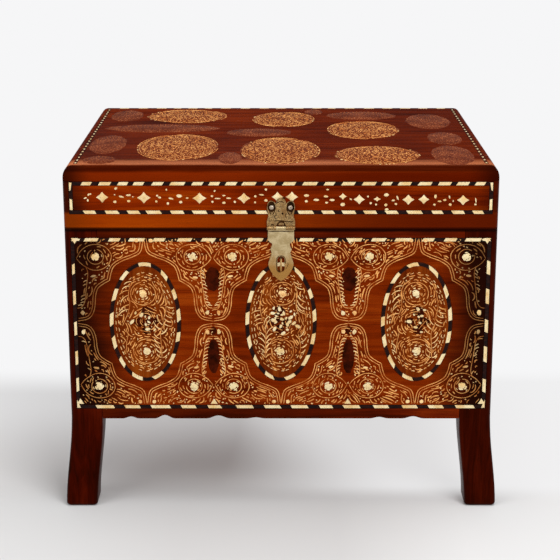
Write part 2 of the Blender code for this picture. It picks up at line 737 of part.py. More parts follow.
def hasp_leaf():
    """The swinging leaf: a shaped plate with one knuckle and a slot for the staple."""
    top = HASP_AXIS.z - HASP_BARREL_RADIUS - FIT
    half = [LEAF_TOP] + curve_through(LEAF_WAIST) + curve_through(LEAF_BULB)[1:]
    outline = mirrored([(top - drop * STAPLE_DROP, share) for drop, share in half])
    outer = HASP_AXIS.y + FIT
    leaf = made("hasp_leaf", prism("Y", outline, outer, outer + HASP_THICKNESS), BRASS, math.radians(30))
    half_knuckle = HASP_KNUCKLE / 2
    tab = block((-half_knuckle, outer, top - PASS), (half_knuckle, outer + HASP_THICKNESS, HASP_AXIS.z))
    combine(leaf, helper("hasp_leaf_tab", tab), "UNION")
    knuckle = rod(-half_knuckle, half_knuckle, HASP_AXIS, HASP_BARREL_RADIUS)
    combine(leaf, helper("hasp_leaf_knuckle", knuckle), "UNION")
    bore = rod(-HASP_WIDTH, HASP_WIDTH, HASP_AXIS, HASP_PIN_RADIUS + FIT)
    cut([leaf], helper("hasp_leaf_bore", bore))
    centre_z = SEAM_Z - STAPLE_DROP
    half_slot = SLOT_WIDTH / 2
    slot = Rect(-half_slot, centre_z - SLOT_HEIGHT / 2, half_slot, centre_z + SLOT_HEIGHT / 2)
    outline = rounded(slot, (half_slot * 0.98,) * 4)
    opening = prism("Y", outline, outer - PASS, outer + HASP_THICKNESS + PASS)
    cut([leaf], helper("hasp_leaf_slot", opening))
    return leaf


def hasp_plate():
    """The lobed plate on the lid, with a knuckle each side of the leaf's."""
    crest = curve_through(PLATE_SIDE) + curve_through(PLATE_EAR)[1:] + curve_through(PLATE_CREST)[1:]
    outline = mirrored([(HASP_AXIS.z + rise, share) for rise, share in crest])
    inner = FRONT_Y - FIT
    plate = made("hasp_plate", prism("Y", outline, inner - HASP_THICKNESS, inner), BRASS, math.radians(30))
    for sign, side in ((-1, "left"), (1, "right")):
        ends = sorted((sign * (HASP_KNUCKLE / 2 + FIT), sign * HASP_WIDTH / 2))
        tab = block(
            (ends[0], inner - HASP_THICKNESS, HASP_AXIS.z),
            (ends[1], inner, HASP_AXIS.z + PLATE_SIDE[0][0] + PASS / 2),
        )
        combine(plate, helper(f"hasp_plate_tab_{side}", tab), "UNION")
        knuckle = rod(*ends, HASP_AXIS, HASP_BARREL_RADIUS)
        combine(plate, helper(f"hasp_plate_knuckle_{side}", knuckle), "UNION")
    bore = rod(-HASP_WIDTH, HASP_WIDTH, HASP_AXIS, HASP_PIN_RADIUS + FIT)
    cut([plate], helper("hasp_plate_bore", bore))
    return plate


def hasp_nails(plate, rail):
    """Two round-headed nails through the plate's ears, and their holes."""
    face = FRONT_Y - FIT - HASP_THICKNESS - FIT
    nails = []
    for sign, side in ((-1, "left"), (1, "right")):
        place = (sign * NAIL_SPREAD, face, HASP_AXIS.z + NAIL_RISE)
        dome = [(NAIL_HEAD_RADIUS * math.cos(a), -NAIL_HEAD_HEIGHT * math.sin(a)) for a in quarter(4)[:-1]]
        tip = NAIL_LENGTH - 2 * NAIL_SHANK_RADIUS
        profile = [(0, -NAIL_HEAD_HEIGHT), *reversed(dome)]
        profile += [(NAIL_SHANK_RADIUS, 0), (NAIL_SHANK_RADIUS, tip), (0, NAIL_LENGTH)]
        nails.append(made(f"hasp_nail_{side}", turned(profile, place, "Y", 14), STEEL, math.radians(50)))
        radius = NAIL_SHANK_RADIUS + FIT
        hole = ((radius, -PASS), (radius, NAIL_LENGTH + FIT))
        cut([plate, rail], helper(f"hole_hasp_nail_{side}", turned(hole, place, "Y", 12)))
    return nails


def staple(pieces):
    """The wire staple driven through the case's front, and its two holes in the pieces."""
    centre_z = SEAM_Z - STAPLE_DROP
    half = STAPLE_SPAN / 2
    bend = half * 0.75
    crown_y = FRONT_Y - STAPLE_REACH + STAPLE_WIRE
    line = [(FRONT_Y + STAPLE_BURIED, centre_z + half)]
    for sign in (1, -1):
        arc = quarter(5) if sign > 0 else reversed(quarter(5))
        for a in arc:
            y = crown_y + bend * (1 - math.sin(a))
            line.append((y, centre_z + sign * (half - bend * (1 - math.cos(a)))))
    line.append((FRONT_Y + STAPLE_BURIED, centre_z - half))
    wire = bpy.data.curves.new("staple", "CURVE")
    wire.dimensions = "3D"
    wire.bevel_depth = STAPLE_WIRE
    wire.bevel_resolution = 3
    wire.use_fill_caps = True
    spline = wire.splines.new("POLY")
    spline.points.add(len(line) - 1)
    for point, (y, z) in zip(spline.points, line):
        point.co = (0, y, z, 1)
    piece = bpy.data.objects.new("staple", wire)
    bpy.context.scene.collection.objects.link(piece)
    material = bpy.data.materials.new("staple")
    material.use_nodes = True
    surface = material.node_tree.nodes["Principled BSDF"]
    surface.inputs["Base Color"].default_value = (*STEEL.colour, 1)
    surface.inputs["Roughness"].default_value = STEEL.roughness
    surface.inputs["Metallic"].default_value = STEEL.metallic
    wire.materials.append(material)
    for sign, side in ((-1, "lower"), (1, "upper")):
        place = (0, FRONT_Y, centre_z + sign * half)
        radius = STAPLE_WIRE + FIT
        hole = ((radius, -PASS), (radius, STAPLE_BURIED + FIT))
        cut(pieces, helper(f"hole_staple_{side}", turned(hole, place, "Y", 16)))


def main():
    """Builds every piece in its closed place."""
    for existing in list(bpy.data.objects):
        bpy.data.objects.remove(existing)

    grooves = tongue_grooves()
    posts = {}
    for side, side_x in (("left", -1), ("right", 1)):
        for end, side_y in (("front", -1), ("rear", 1)):
            corner = post(f"post_{end}_{side}", side_x, side_y)
            posts[end, side] = corner
            cut([corner], grooves["groove_front" if end == "front" else "groove_back"])
            cut([corner], grooves[f"groove_{side}"])
    front, back, left, right = panels()
    cleats_and_base()

    names = ["medallion_front_left", "medallion_front_centre", "medallion_front_right"]
    pocket, veneer, medallions = inlaid_face(
        "front", "Y", -HALF_WIDTH, HALF_WIDTH, FRONT_Y, 1, names
    )
    cut([front, posts["front", "left"], posts["front", "right"]], pocket)
    staple([front, veneer, medallions[1]])
    for side, wall, sign in (("left", left, -1), ("right", right, 1)):
        names = [f"medallion_{side}_{end}" for end in ("front", "rear")]
        pocket, _, _ = inlaid_face(side, "X", FRONT_Y, BACK_Y, sign * HALF_WIDTH, -sign, names)
        cut([wall, posts["front", side], posts["rear", side]], pocket)

    top = top_board()
    front_rail = end_rail("lid_rail_front", FRONT_Y, 1)
    back_rail = end_rail("lid_rail_back", BACK_Y, -1)
    lid = [top, front_rail, back_rail]
    strip, groove = lid_border("front", "Y", -HALF_WIDTH, HALF_WIDTH, FRONT_Y, 1)
    cut([front_rail], groove)
    lid.append(strip)
    for side, sign in (("left", -1), ("right", 1)):
        rail = side_rail(f"lid_rail_{side}", sign)
        strip, groove = lid_border(side, "X", FRONT_Y, BACK_Y, sign * HALF_WIDTH, -sign)
        cut([rail, front_rail, back_rail], groove)
        lid += [rail, strip]
    strip, groove = top_strip()
    cut([top], groove)
    lid.append(strip)

    wedge = back_wedge()
    cut([back, posts["rear", "left"], posts["rear", "right"], back_rail], wedge)
    lid += hinge("left", -1, back, back_rail)
    lid += hinge("right", 1, back, back_rail)

    plate = hasp_plate()
    pin_half = HASP_WIDTH / 2
    pin = made("hasp_pin", rod(-pin_half, pin_half, HASP_AXIS, HASP_PIN_RADIUS, 12), STEEL)
    lid += [plate, pin, *hasp_nails(plate, front_rail)]
    leaf = hasp_leaf()

    pivot = empty_at("lid_pivot", LID_AXIS)
    hang_on(pivot, lid)
    hang_on(pivot, [leaf], HASP_AXIS)


main()
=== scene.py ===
"""Visual model of an inlaid wooden box on four legs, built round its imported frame.

Metres, +Z up, and the front faces -Y. The inlay is drawn in millimetres on the face that carries it:
u runs to the right of someone who looks at the face, v runs up it (towards the back on the lid's top)
and h stands out of it. Every line, chip and tile of the inlay is a closed solid of its own shape.
"""

import logging
import math
from dataclasses import dataclass, field
from enum import Enum
from typing import Callable, Iterator, Sequence

import bmesh
import bpy
import numpy as np
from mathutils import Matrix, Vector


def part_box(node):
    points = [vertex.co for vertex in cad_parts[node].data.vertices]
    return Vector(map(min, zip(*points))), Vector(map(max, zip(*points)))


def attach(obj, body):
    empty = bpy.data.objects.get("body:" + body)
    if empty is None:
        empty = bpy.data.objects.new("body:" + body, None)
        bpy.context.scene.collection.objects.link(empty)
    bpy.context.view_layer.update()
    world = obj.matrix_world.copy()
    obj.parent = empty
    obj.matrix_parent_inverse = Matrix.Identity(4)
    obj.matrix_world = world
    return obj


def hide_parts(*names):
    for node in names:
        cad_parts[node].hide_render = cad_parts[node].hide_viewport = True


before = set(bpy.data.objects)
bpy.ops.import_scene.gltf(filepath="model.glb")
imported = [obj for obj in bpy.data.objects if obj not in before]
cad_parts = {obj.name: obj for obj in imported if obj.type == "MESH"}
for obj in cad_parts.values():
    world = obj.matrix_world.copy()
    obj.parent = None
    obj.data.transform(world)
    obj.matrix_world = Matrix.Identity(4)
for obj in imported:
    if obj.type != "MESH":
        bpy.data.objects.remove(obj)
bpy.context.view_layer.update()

log = logging.getLogger("box")

MM = 0.001
CELL = 0.3  # millimetres, one cell of the map that keeps the strokes of a face apart
TILE_PLAY = 0.12  # millimetres that a tile is narrower than its border
SINK = 0.12  # millimetres that a piece of inlay lies in its face
CREST = 0.2  # millimetres that the crest of a full line stands out
CREASE = 40.0  # degrees: inlay edges that turn by more stay sharp

# What the wear of the woods and the brass is placed by, in metres.
LID_FOOT = float(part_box("lid_rail_front")[0][2])
BAND_FOOT = float(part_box("lid_border_front")[0][2])
LID_LOW, LID_HIGH = ([float(c) for c in corner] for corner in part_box("lid_top"))
LID_MIDDLE = [(low + high) / 2 for low, high in zip(LID_LOW, LID_HIGH)]
LID_FRONT, LID_TOP = LID_LOW[1], LID_HIGH[2]
LEAF_FOOT = float(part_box("hasp_leaf")[0][2])
SIDES = ("front", "left", "right")

Colour = tuple[float, float, float, float]
Region = Callable[[np.ndarray], np.ndarray]
Place = tuple[float, float]  # u and v
Span = tuple[float, float, float, float]  # lowest u and v and highest u and v, or as its name says


class Kind(Enum):
    """What a piece of inlay is cut from."""

    WIRE = "wire"
    PALE = "pale"
    BONE = "bone"
    EBONY = "ebony"
    CURL = "curl"
    GROUND = "ground"
    SHADE = "shade"
    MURK = "murk"
    DARK = "dark"


class Grain(Enum):
    """The axis that a board's grain runs along."""

    X = 0
    Y = 1
    Z = 2


def paint(red: float, green: float, blue: float) -> Colour:
    """A screen colour of 0 to 255 a channel as the linear colour that a shader takes.

    Args:
        red: the red channel.
        green: the green one.
        blue: the blue one.

    Returns:
        The linear colour, opaque.
    """
    share = np.array([red, green, blue]) / 255
    linear = np.where(share <= 0.04045, share / 12.92, ((share + 0.055) / 1.055) ** 2.4)
    return (*(float(c) for c in linear), 1.0)


# ---------------------------------------------------------------- shader sums


class Value:
    """A number's socket, on which sums are written as Python."""

    def __init__(self, graph: "Graph", socket: bpy.types.NodeSocket) -> None:
        """Wraps the socket of one graph."""
        self.graph = graph
        self.socket = socket

    def sum_of(self, operation: str, *terms: "float | Value") -> "Value":
        """Adds a Math node.

        Args:
            operation: the node's operation.
            terms: its inputs in order, numbers or values.

        Returns:
            The node's result.
        """
        inputs = {k: t.socket if isinstance(t, Value) else t for k, t in enumerate(terms)}
        made = self.graph.node("ShaderNodeMath", {"operation": operation}, inputs)
        return Value(self.graph, made.outputs[0])

    def __add__(self, other: "float | Value") -> "Value":
        """This plus the other."""
        return self.sum_of("ADD", self, other)

    def __mul__(self, other: "float | Value") -> "Value":
        """This times the other."""
        return self.sum_of("MULTIPLY", self, other)

    def __sub__(self, other: "float | Value") -> "Value":
        """This less the other."""
        return self.sum_of("SUBTRACT", self, other)

    def __rsub__(self, other: "float | Value") -> "Value":
        """The other less this."""
        return self.sum_of("SUBTRACT", other, self)

    def size(self) -> "Value":
        """The value without its sign."""
        return self.sum_of("ABSOLUTE", self)

    def step(self, low: float, high: float, first: float = 0.0, last: float = 1.0) -> "Value":
        """Turns smoothly from first to last while the value goes from low to high.

        Args:
            low: where the turn starts.
            high: where it ends.
            first: the result up to low.
            last: the result from high on.

        Returns:
            The result, never outside first and last.
        """
        sockets = {"Value": self.socket, "From Min": low, "From Max": high, "To Min": first, "To Max": last}
        made = self.graph.node("ShaderNodeMapRange", {"interpolation_type": "SMOOTHSTEP"}, sockets)
        return Value(self.graph, made.outputs[0])


class Graph:
    """The nodes of one material, with its Principled shader."""

    def __init__(self, name: str) -> None:
        """Starts a material with a shader and an output.

        Args:
            name: the material's name.
        """
        self.material = bpy.data.materials.new(name)
        self.material.use_nodes = True
        self.tree = self.material.node_tree
        self.tree.nodes.clear()
        self.shader = self.node("ShaderNodeBsdfPrincipled")
        self.output = self.node("ShaderNodeOutputMaterial", None, {"Surface": self.shader.outputs[0]})
        self.place = self.node("ShaderNodeTexCoord").outputs["Object"]

    def node(self, kind: str, settings: dict | None = None, sockets: dict | None = None) -> bpy.types.Node:
        """Adds a node.

        Args:
            kind: the node's type.
            settings: attributes that are set first; "stops" fills a ramp with (place, colour) pairs.
            sockets: a number, colour, socket or Value for each input, by its name or number.

        Returns:
            The node.
        """
        made = self.tree.nodes.new(kind)
        for key, value in (settings or {}).items():
            if key != "stops":
                setattr(made, key, value)
                continue
            ramp = made.color_ramp
            while len(ramp.elements) < len(value):
                ramp.elements.new(0.5)
            for element, (place, colour) in zip(ramp.elements, value):
                element.position, element.color = place, colour
        self.plug(made, sockets or {})
        return made

    def plug(self, node: bpy.types.Node, sockets: dict) -> None:
        """Sets a node's inputs by name or number, or links them to a socket or a Value.

        Args:
            node: the node.
            sockets: what goes to each input.
        """
        for key, value in sockets.items():
            value = value.socket if isinstance(value, Value) else value
            if isinstance(value, bpy.types.NodeSocket):
                self.tree.links.new(value, node.inputs[key])
            else:
                node.inputs[key].default_value = value

    def axis(self, number: int) -> Value:
        """One coordinate of the place on the piece, in metres."""
        return Value(self, self.node("ShaderNodeSeparateXYZ", None, {0: self.place}).outputs[number])

    def stretched(self, scale: Sequence[float], offset: float = 0.0) -> bpy.types.NodeSocket:
        """The place, scaled along each axis and moved by offset along all three."""
        sockets = {"Vector": self.place, "Scale": tuple(scale), "Location": (offset,) * 3}
        return self.node("ShaderNodeMapping", None, sockets).outputs[0]

    def noise(self, vector: bpy.types.NodeSocket, scale: float, detail: float, blend: float,
              twist: float = 0.0) -> Value:
        """Cloudy noise from 0 to 1.

        Args:
            vector: where it is read.
            scale: how many clouds there are to a metre.
            detail: how many finer layers are added.
            blend: how strong each finer layer is.
            twist: how far the clouds are drawn into curls.

        Returns:
            The noise.
        """
        sockets = {"Vector": vector, "Scale": scale, "Detail": detail, "Roughness": blend}
        sockets["Distortion"] = twist
        return Value(self, self.node("ShaderNodeTexNoise", None, sockets).outputs[0])

    def cracks(self, scale: float) -> Value:
        """How far a place is from the nearest line of a net of cracks, 0 on the line.

        Args:
            scale: how many cells the net has to a metre.

        Returns:
            The distance, in cells.
        """
        sockets = {"Vector": self.place, "Scale": scale}
        made = self.node("ShaderNodeTexVoronoi", {"feature": "DISTANCE_TO_EDGE"}, sockets)
        return Value(self, made.outputs["Distance"])

    def ramp(self, value: Value, *stops: tuple[float, Colour]) -> bpy.types.NodeSocket:
        """The colour that a value has on a ramp of (place, colour) stops."""
        return self.node("ShaderNodeValToRGB", {"stops": stops}, {0: value}).outputs[0]

    def mix(self, factor: "float | Value", one: object, two: object) -> bpy.types.NodeSocket:
        """Blends two colours or their sockets: factor is how much of the second is used."""
        return self.node("ShaderNodeMix", {"data_type": "RGBA"}, {0: factor, 6: one, 7: two}).outputs[2]

    def finish(self, colour: object, roughness: "float | Value", relief: Value | None, depth: float,
               **others: "float | Colour | Value") -> bpy.types.Material:
        """Joins the shader up.

        Args:
            colour: the base colour or its socket.
            roughness: how matt the surface is.
            relief: the height that bumps the surface, from 0 to 1.
            depth: what a height of 1 stands for, in metres.
            others: what goes to other sockets of the shader, with _ for a space.

        Returns:
            The material.
        """
        sockets = {"Base Color": colour, "Roughness": roughness}
        sockets |= {key.replace("_", " "): value for key, value in others.items()}
        if relief is not None:
            bump = self.node("ShaderNodeBump", None, {"Strength": 1.0, "Distance": depth, "Height": relief})
            sockets["Normal"] = bump.outputs[0]
        self.plug(self.shader, sockets)
        return self.material


# ---------------------------------------------------------------- finishes


@dataclass(frozen=True)
class Wood:
    """Oiled and waxed hardwood with its grain along one axis.

    The tone is stretched cloudy noise, darkened by finer stretched noise for the pores and by slow clouds
    for age. Layers of painted light and shade lie over it: darker ends and a darker side, a highlight and
    shade on the lid's front edge, a lighter foot on the lid's rail, and the dark joint where the lid meets
    the case, widened by painted shade.
    """

    name: str
    grain: Grain
    dark: Colour
    middle: Colour
    light: Colour
    matt: float = 0.36
    gloss: float = 0.05
    offset: float = 0.0  # moves the noise, so that two woods don't share their figure
    end_shade: float = 0.0  # how black painted shade makes the ends along its axis
    end_shade_axis: int = 0
    end_shade_from: float = 0.13
    end_shade_to: float = 0.175
    side_shade: float = 0.0  # how much painted shade darkens the right end, or with a minus the left end
    lip_light_and_shade: bool = False  # a painted highlight and painted shade on the front edge of the lid's top
    lit_foot: float = 0.0  # how much painted light brightens the lid's rail below its band
    seam_and_shade: bool = False  # the dark joint where the lid meets the case, widened by painted shade

    def material(self) -> bpy.types.Material:
        """Makes the material.

        Returns:
            The material.
        """
        graph = Graph(self.name)
        figure = graph.noise(self.drawn_out(graph, 0.07), 95, 5, 0.6, 1.2)
        pores = graph.noise(self.drawn_out(graph, 0.025), 900, 3, 0.6)
        clouds = graph.noise(self.drawn_out(graph, 1.0), 14, 3, 0.55)
        tone = figure * 0.62 + clouds * 0.38
        colour = graph.ramp(tone, (0.34, self.dark), (0.5, self.middle), (0.67, self.light))
        colour = graph.mix(pores.step(0.5, 0.72, 0.0, 0.55), colour, self.dark)
        for share, tint in self.layers(graph, figure, clouds):
            colour = graph.mix(share, colour, tint)
        rough = clouds * 0.16 + pores * 0.14 + (self.matt - 0.15)
        relief = pores * 0.6 + figure * 0.4
        return graph.finish(colour, rough, relief, 0.00035, Specular_IOR_Level=self.gloss,
                            Specular_Tint=paint(255, 150, 90))

    def drawn_out(self, graph: Graph, share: float) -> bpy.types.NodeSocket:
        """The place, with only a share of it left along the grain.

        Args:
            graph: the material's graph.
            share: what is left.

        Returns:
            The place's socket.
        """
        scale = [1.0, 1.0, 1.0]
        scale[self.grain.value] = share
        return graph.stretched(scale, self.offset)

    def layers(self, graph: Graph, figure: Value, clouds: Value) -> Iterator[tuple[Value, object]]:
        """The painted light and shade, and the dark joint at the seam, over the bare wood, from the first
        layer to the last.

        Args:
            graph: the material's graph.
            figure: the noise of the grain.
            clouds: the slow noise.

        Yields:
            How much of a layer there is at each place, and its colour.
        """
        x, z = graph.axis(0), graph.axis(2)
        # Painted shade: the ends of the face darken to almost black.
        if self.end_shade:
            out = (graph.axis(self.end_shade_axis) - LID_MIDDLE[self.end_shade_axis]).size() + (clouds - 0.5) * 0.06
            yield out.step(self.end_shade_from, self.end_shade_to, 0.0, self.end_shade), paint(16, 3, 2)
        # Painted highlight and shade along the lid's front edge.
        if self.lip_light_and_shade:
            yield from self.lip(graph, figure, clouds)
        # Painted light: the rail is lighter below its band; painted shade darkens it there towards the right.
        if self.lit_foot:
            foot = z.step(BAND_FOOT + 0.0022, BAND_FOOT - 0.0008)
            yield foot * self.lit_foot, self.light
            yield foot * x.step(-0.1, 0.14, 0.0, 0.85), paint(78, 14, 0)
        # The dark joint where the lid meets the case, widened by painted shade.
        if self.seam_and_shade:
            below = z.step(LID_FOOT - 0.003, LID_FOOT - 0.0012)
            above = z.step(LID_FOOT + 0.0024, LID_FOOT + 0.001)
            yield below * above * 0.9, paint(14, 2, 1)
        # Painted shade: one end darkens towards the wood's dark tone.
        if self.side_shade:
            ends = (-0.1, 0.12) if self.side_shade > 0 else (0.12, -0.1)
            yield x.step(*ends, 0.0, abs(self.side_shade)), self.dark

    def lip(self, graph: Graph, figure: Value, clouds: Value) -> Iterator[tuple[Value, object]]:
        """Painted light and shade on the lid's front edge: a highlight above, shade on the round, orange
        below that darkens to the right, and shaded ends.

        Args:
            graph: the material's graph.
            figure: the noise of the grain.
            clouds: the slow noise.

        Yields:
            How much of a layer there is at each place, and its colour.
        """
        x, y, z = (graph.axis(number) for number in range(3))
        # Painted highlight: a pale band along the front of the top and the start of the round.
        inner = y.step(LID_FRONT + 0.033, LID_FRONT + 0.014)
        outer = (y + (clouds - 0.5) * 0.006).step(LID_FRONT + 0.0045, LID_FRONT + 0.0105)
        yield inner * outer * (figure * 1.5 + 0.1), paint(188, 108, 68)
        # Painted shade: a dark band on the round.
        front = y.step(LID_FRONT + 0.008, LID_FRONT + 0.0045)
        yield front * z.step(LID_TOP - 0.0055, LID_TOP - 0.003) * (clouds * 0.8 + 0.3), paint(40, 6, 1)
        # The orange below the dark band, darkened towards the right by painted shade.
        orange = graph.mix(x.step(-0.1, 0.12), paint(120, 35, 2), paint(88, 18, 0))
        yield front * z.step(LID_TOP - 0.0038, LID_TOP - 0.0062, 0.0, 0.8), orange
        # Painted shade on both ends of the edge.
        yield front * x.size().step(0.152, 0.178, 0.0, 0.85), paint(30, 5, 1)


@dataclass(frozen=True)
class Bone:
    """Camel bone, yellowed in clouds, with fine brown pores along it and dirt in patches."""

    name: str
    pale: Colour
    warm: Colour
    stain: Colour

    def material(self) -> bpy.types.Material:
        """Makes the material.

        Returns:
            The material.
        """
        graph = Graph(self.name)
        clouds = graph.noise(graph.place, 85, 3, 0.6)
        specks = graph.noise(graph.stretched((1, 1, 0.35)), 1400, 3, 0.6)
        colour = graph.ramp(clouds, (0.33, self.warm), (0.6, self.pale))
        colour = graph.mix(specks.step(0.56, 0.74, 0.0, 0.75), colour, self.stain)
        return graph.finish(colour, specks * 0.3 + 0.26, specks, 0.0001, Specular_IOR_Level=0.45)


@dataclass(frozen=True)
class Line:
    """The thin light lines: wood and wire that glow or sink into the dirt from one place to the next."""

    name: str
    bright: Colour
    dull: Colour
    patch: float = 120.0  # how many bright and dull places there are to a metre
    corner_shade: float = 0.0  # how dark painted shade makes the lines in the upper corners of the front

    def material(self) -> bpy.types.Material:
        """Makes the material.

        Returns:
            The material.
        """
        graph = Graph(self.name)
        clouds = graph.noise(graph.place, self.patch, 4, 0.65)
        specks = graph.noise(graph.place, 1700, 2, 0.5)
        colour = graph.ramp(clouds, (0.36, self.dull), (0.6, self.bright))
        # Painted shade: the lines of the front darken towards its upper corners.
        if self.corner_shade:
            out = graph.axis(0).size() + (clouds - 0.5) * 0.04
            front = graph.axis(1).step(LID_FRONT + 0.012, LID_FRONT + 0.007)
            upper = graph.axis(2).step(0.1, 0.2, 0.55, 1.0)
            darkening = out.step(0.132, 0.162, 0.0, self.corner_shade) * front * upper
            colour = graph.mix(darkening, colour, paint(52, 22, 10))
        return graph.finish(colour, specks * 0.3 + 0.3, specks, 0.00008, Specular_IOR_Level=0.03,
                            Specular_Tint=paint(255, 190, 140))


@dataclass(frozen=True)
class Ebony:
    """Black wood with a trace of brown grain."""

    name: str

    def material(self) -> bpy.types.Material:
        """Makes the material.

        Returns:
            The material.
        """
        graph = Graph(self.name)
        grain = graph.noise(graph.stretched((0.3, 1, 1)), 700, 3, 0.6)
        colour = graph.ramp(grain, (0.4, paint(14, 3, 2)), (0.72, paint(44, 12, 6)))
        return graph.finish(colour, grain * 0.3 + 0.28, grain, 0.0001, Specular_IOR_Level=0.1)


@dataclass(frozen=True)
class Brass:
    """Old brass: clear metal where it is rubbed, brown and grey-green dirt where it is not."""

    name: str
    clear: Colour
    worn: Colour
    darkening: Colour
    spread: float  # how much of the grit is filled with dirt
    net: float = 0.0  # how fine a net of dark cracks is
    ochre: bool = False  # whether it turns ochre towards the foot of the hasp

    def material(self) -> bpy.types.Material:
        """Makes the material.

        Returns:
            The material.
        """
        graph = Graph(self.name)
        clouds = graph.noise(graph.place, 150, 5, 0.65, 0.4)
        grit = graph.noise(graph.place, 900, 4, 0.65)
        colour = graph.mix(clouds.step(0.36, 0.62), self.worn, self.clear)
        if self.ochre:
            height = graph.axis(2) + (clouds - 0.5) * 0.012
            low = height.step(LEAF_FOOT + 0.0285, LEAF_FOOT + 0.0095)
            colour = graph.mix(low, colour, paint(172, 124, 60))
        grime = grit.step(0.5, 0.74, 0.0, self.spread)
        if self.net:
            lines = (graph.cracks(self.net) + (grit - 0.5) * 0.16).step(0.0, 0.09, 0.9, 0.0)
            grime = grime.sum_of("MAXIMUM", grime, lines * clouds.step(0.38, 0.55))
        colour = graph.mix(grime, colour, self.darkening)
        relief = grit * 0.5 + (1 - grime) * 0.5
        return graph.finish(colour, grime * 0.3 + 0.36, relief, 0.00025, Metallic=0.75 - grime * 0.6)


@dataclass(frozen=True)
class Iron:
    """Dark iron with a little rust."""

    name: str

    def material(self) -> bpy.types.Material:
        """Makes the material.

        Returns:
            The material.
        """
        graph = Graph(self.name)
        rust = graph.noise(graph.place, 400, 4, 0.65)
        colour = graph.ramp(rust, (0.42, paint(62, 58, 55)), (0.68, paint(104, 62, 38)))
        return graph.finish(colour, rust * 0.4 + 0.3, rust, 0.0001, Metallic=0.8)


# ---------------------------------------------------------------- solids


class Soup:
    """Vertices and triangles that are gathered into one piece."""

    def __init__(self) -> None:
        """Starts empty."""
        self.points: list[np.ndarray] = []
        self.faces: list[np.ndarray] = []
        self.count = 0

    def add(self, points: np.ndarray, faces: np.ndarray) -> None:
        """Adds N copies of one net of faces.

        Args:
            points: (N, P, 3) vertices.
            faces: (F, 3) numbers of vertices of one copy.
        """
        copies, size = points.shape[:2]
        starts = self.count + size * np.arange(copies)
        self.points.append(points.reshape(-1, 3))
        self.faces.append((starts[:, None, None] + faces[None]).reshape(-1, 3))
        self.count += copies * size

    def piece(self, name: str, material: bpy.types.Material) -> bpy.types.Object:
        """Makes the object, at the origin.

        Args:
            name: the piece's name.
            material: its material.

        Returns:
            The object.
        """
        points = np.concatenate(self.points)
        faces = np.concatenate(self.faces)
        mesh = bpy.data.meshes.new(name)
        mesh.vertices.add(len(points))
        mesh.vertices.foreach_set("co", points.astype(np.float32).ravel())
        mesh.loops.add(faces.size)
        mesh.loops.foreach_set("vertex_index", faces.astype(np.int32).ravel())
        mesh.polygons.add(len(faces))
        mesh.polygons.foreach_set("loop_start", np.arange(0, faces.size, 3, dtype=np.int32))
        mesh.polygons.foreach_set("use_smooth", np.ones(len(faces), bool))
        mesh.update(calc_edges=True)
        mesh.set_sharp_from_angle(angle=math.radians(CREASE))
        mesh.materials.append(material)
        made = bpy.data.objects.new(name, mesh)
        bpy.context.scene.collection.objects.link(made)
        log.info("%s: %d triangles", name, len(faces))
        return made


def halves(quads: np.ndarray) -> np.ndarray:
    """Splits (F, 4) quads into (2F, 3) triangles that turn the same way."""
    return np.concatenate([quads[:, [0, 1, 2]], quads[:, [0, 2, 3]]])


def wall(rows: int, ring: int) -> np.ndarray:
    """Quads between rows of a closed ring of points, with both ends closed.

    Vertex number = row * ring + place on the ring. The ring runs anticlockwise when seen from the end
    that the rows come from, so the faces point outwards.

    Args:
        rows: how many rings there are.
        ring: how many points one has.

    Returns:
        (F, 3) triangles.
    """
    row, place = (a.ravel() for a in np.meshgrid(np.arange(rows - 1), np.arange(ring), indexing="ij"))
    after = (place + 1) % ring
    low, high = row * ring, (row + 1) * ring
    sides = halves(np.stack([low + place, low + after, high + after, high + place], 1))
    fan = np.arange(1, ring - 1)
    first = np.stack([np.zeros_like(fan), fan + 1, fan], 1)
    last = np.stack([np.zeros_like(fan), fan, fan + 1], 1) + (rows - 1) * ring
    return np.concatenate([sides, first, last])


def normals_of(paths: np.ndarray) -> np.ndarray:
    """The unit left-hand normal at each point of (N, K, 2) paths.

    Args:
        paths: the paths.

    Returns:
        (N, K, 2) normals.
    """
    along = np.gradient(paths, axis=1)
    along /= np.maximum(np.linalg.norm(along, axis=2, keepdims=True), 1e-9)
    return np.stack([-along[..., 1], along[..., 0]], axis=2)


def roofs(paths: np.ndarray, widths: np.ndarray) -> tuple[np.ndarray, np.ndarray]:
    """Lines of inlay with a low crest: left foot, crest and right foot are carried along each path.

    The crest stands out by CREST where the line is half a millimetre wide or more, and by less where it
    is narrower. The feet lie in by SINK.

    Args:
        paths: (N, K, 2) places in millimetres.
        widths: (N, K) full widths.

    Returns:
        (N, 3K, 3) vertices and the faces of one line.
    """
    side = normals_of(paths) * (widths / 2)[..., None]
    low = np.full(paths.shape[:2] + (1,), -SINK)
    crest = CREST * np.clip(widths / 0.5, 0.35, 1.0)[..., None]
    rings = np.stack([
        np.concatenate([paths + side, low], 2),
        np.concatenate([paths, crest], 2),
        np.concatenate([paths - side, low], 2),
    ], axis=2)
    count, steps = paths.shape[:2]
    return rings.reshape(count, steps * 3, 3), wall(steps, 3)


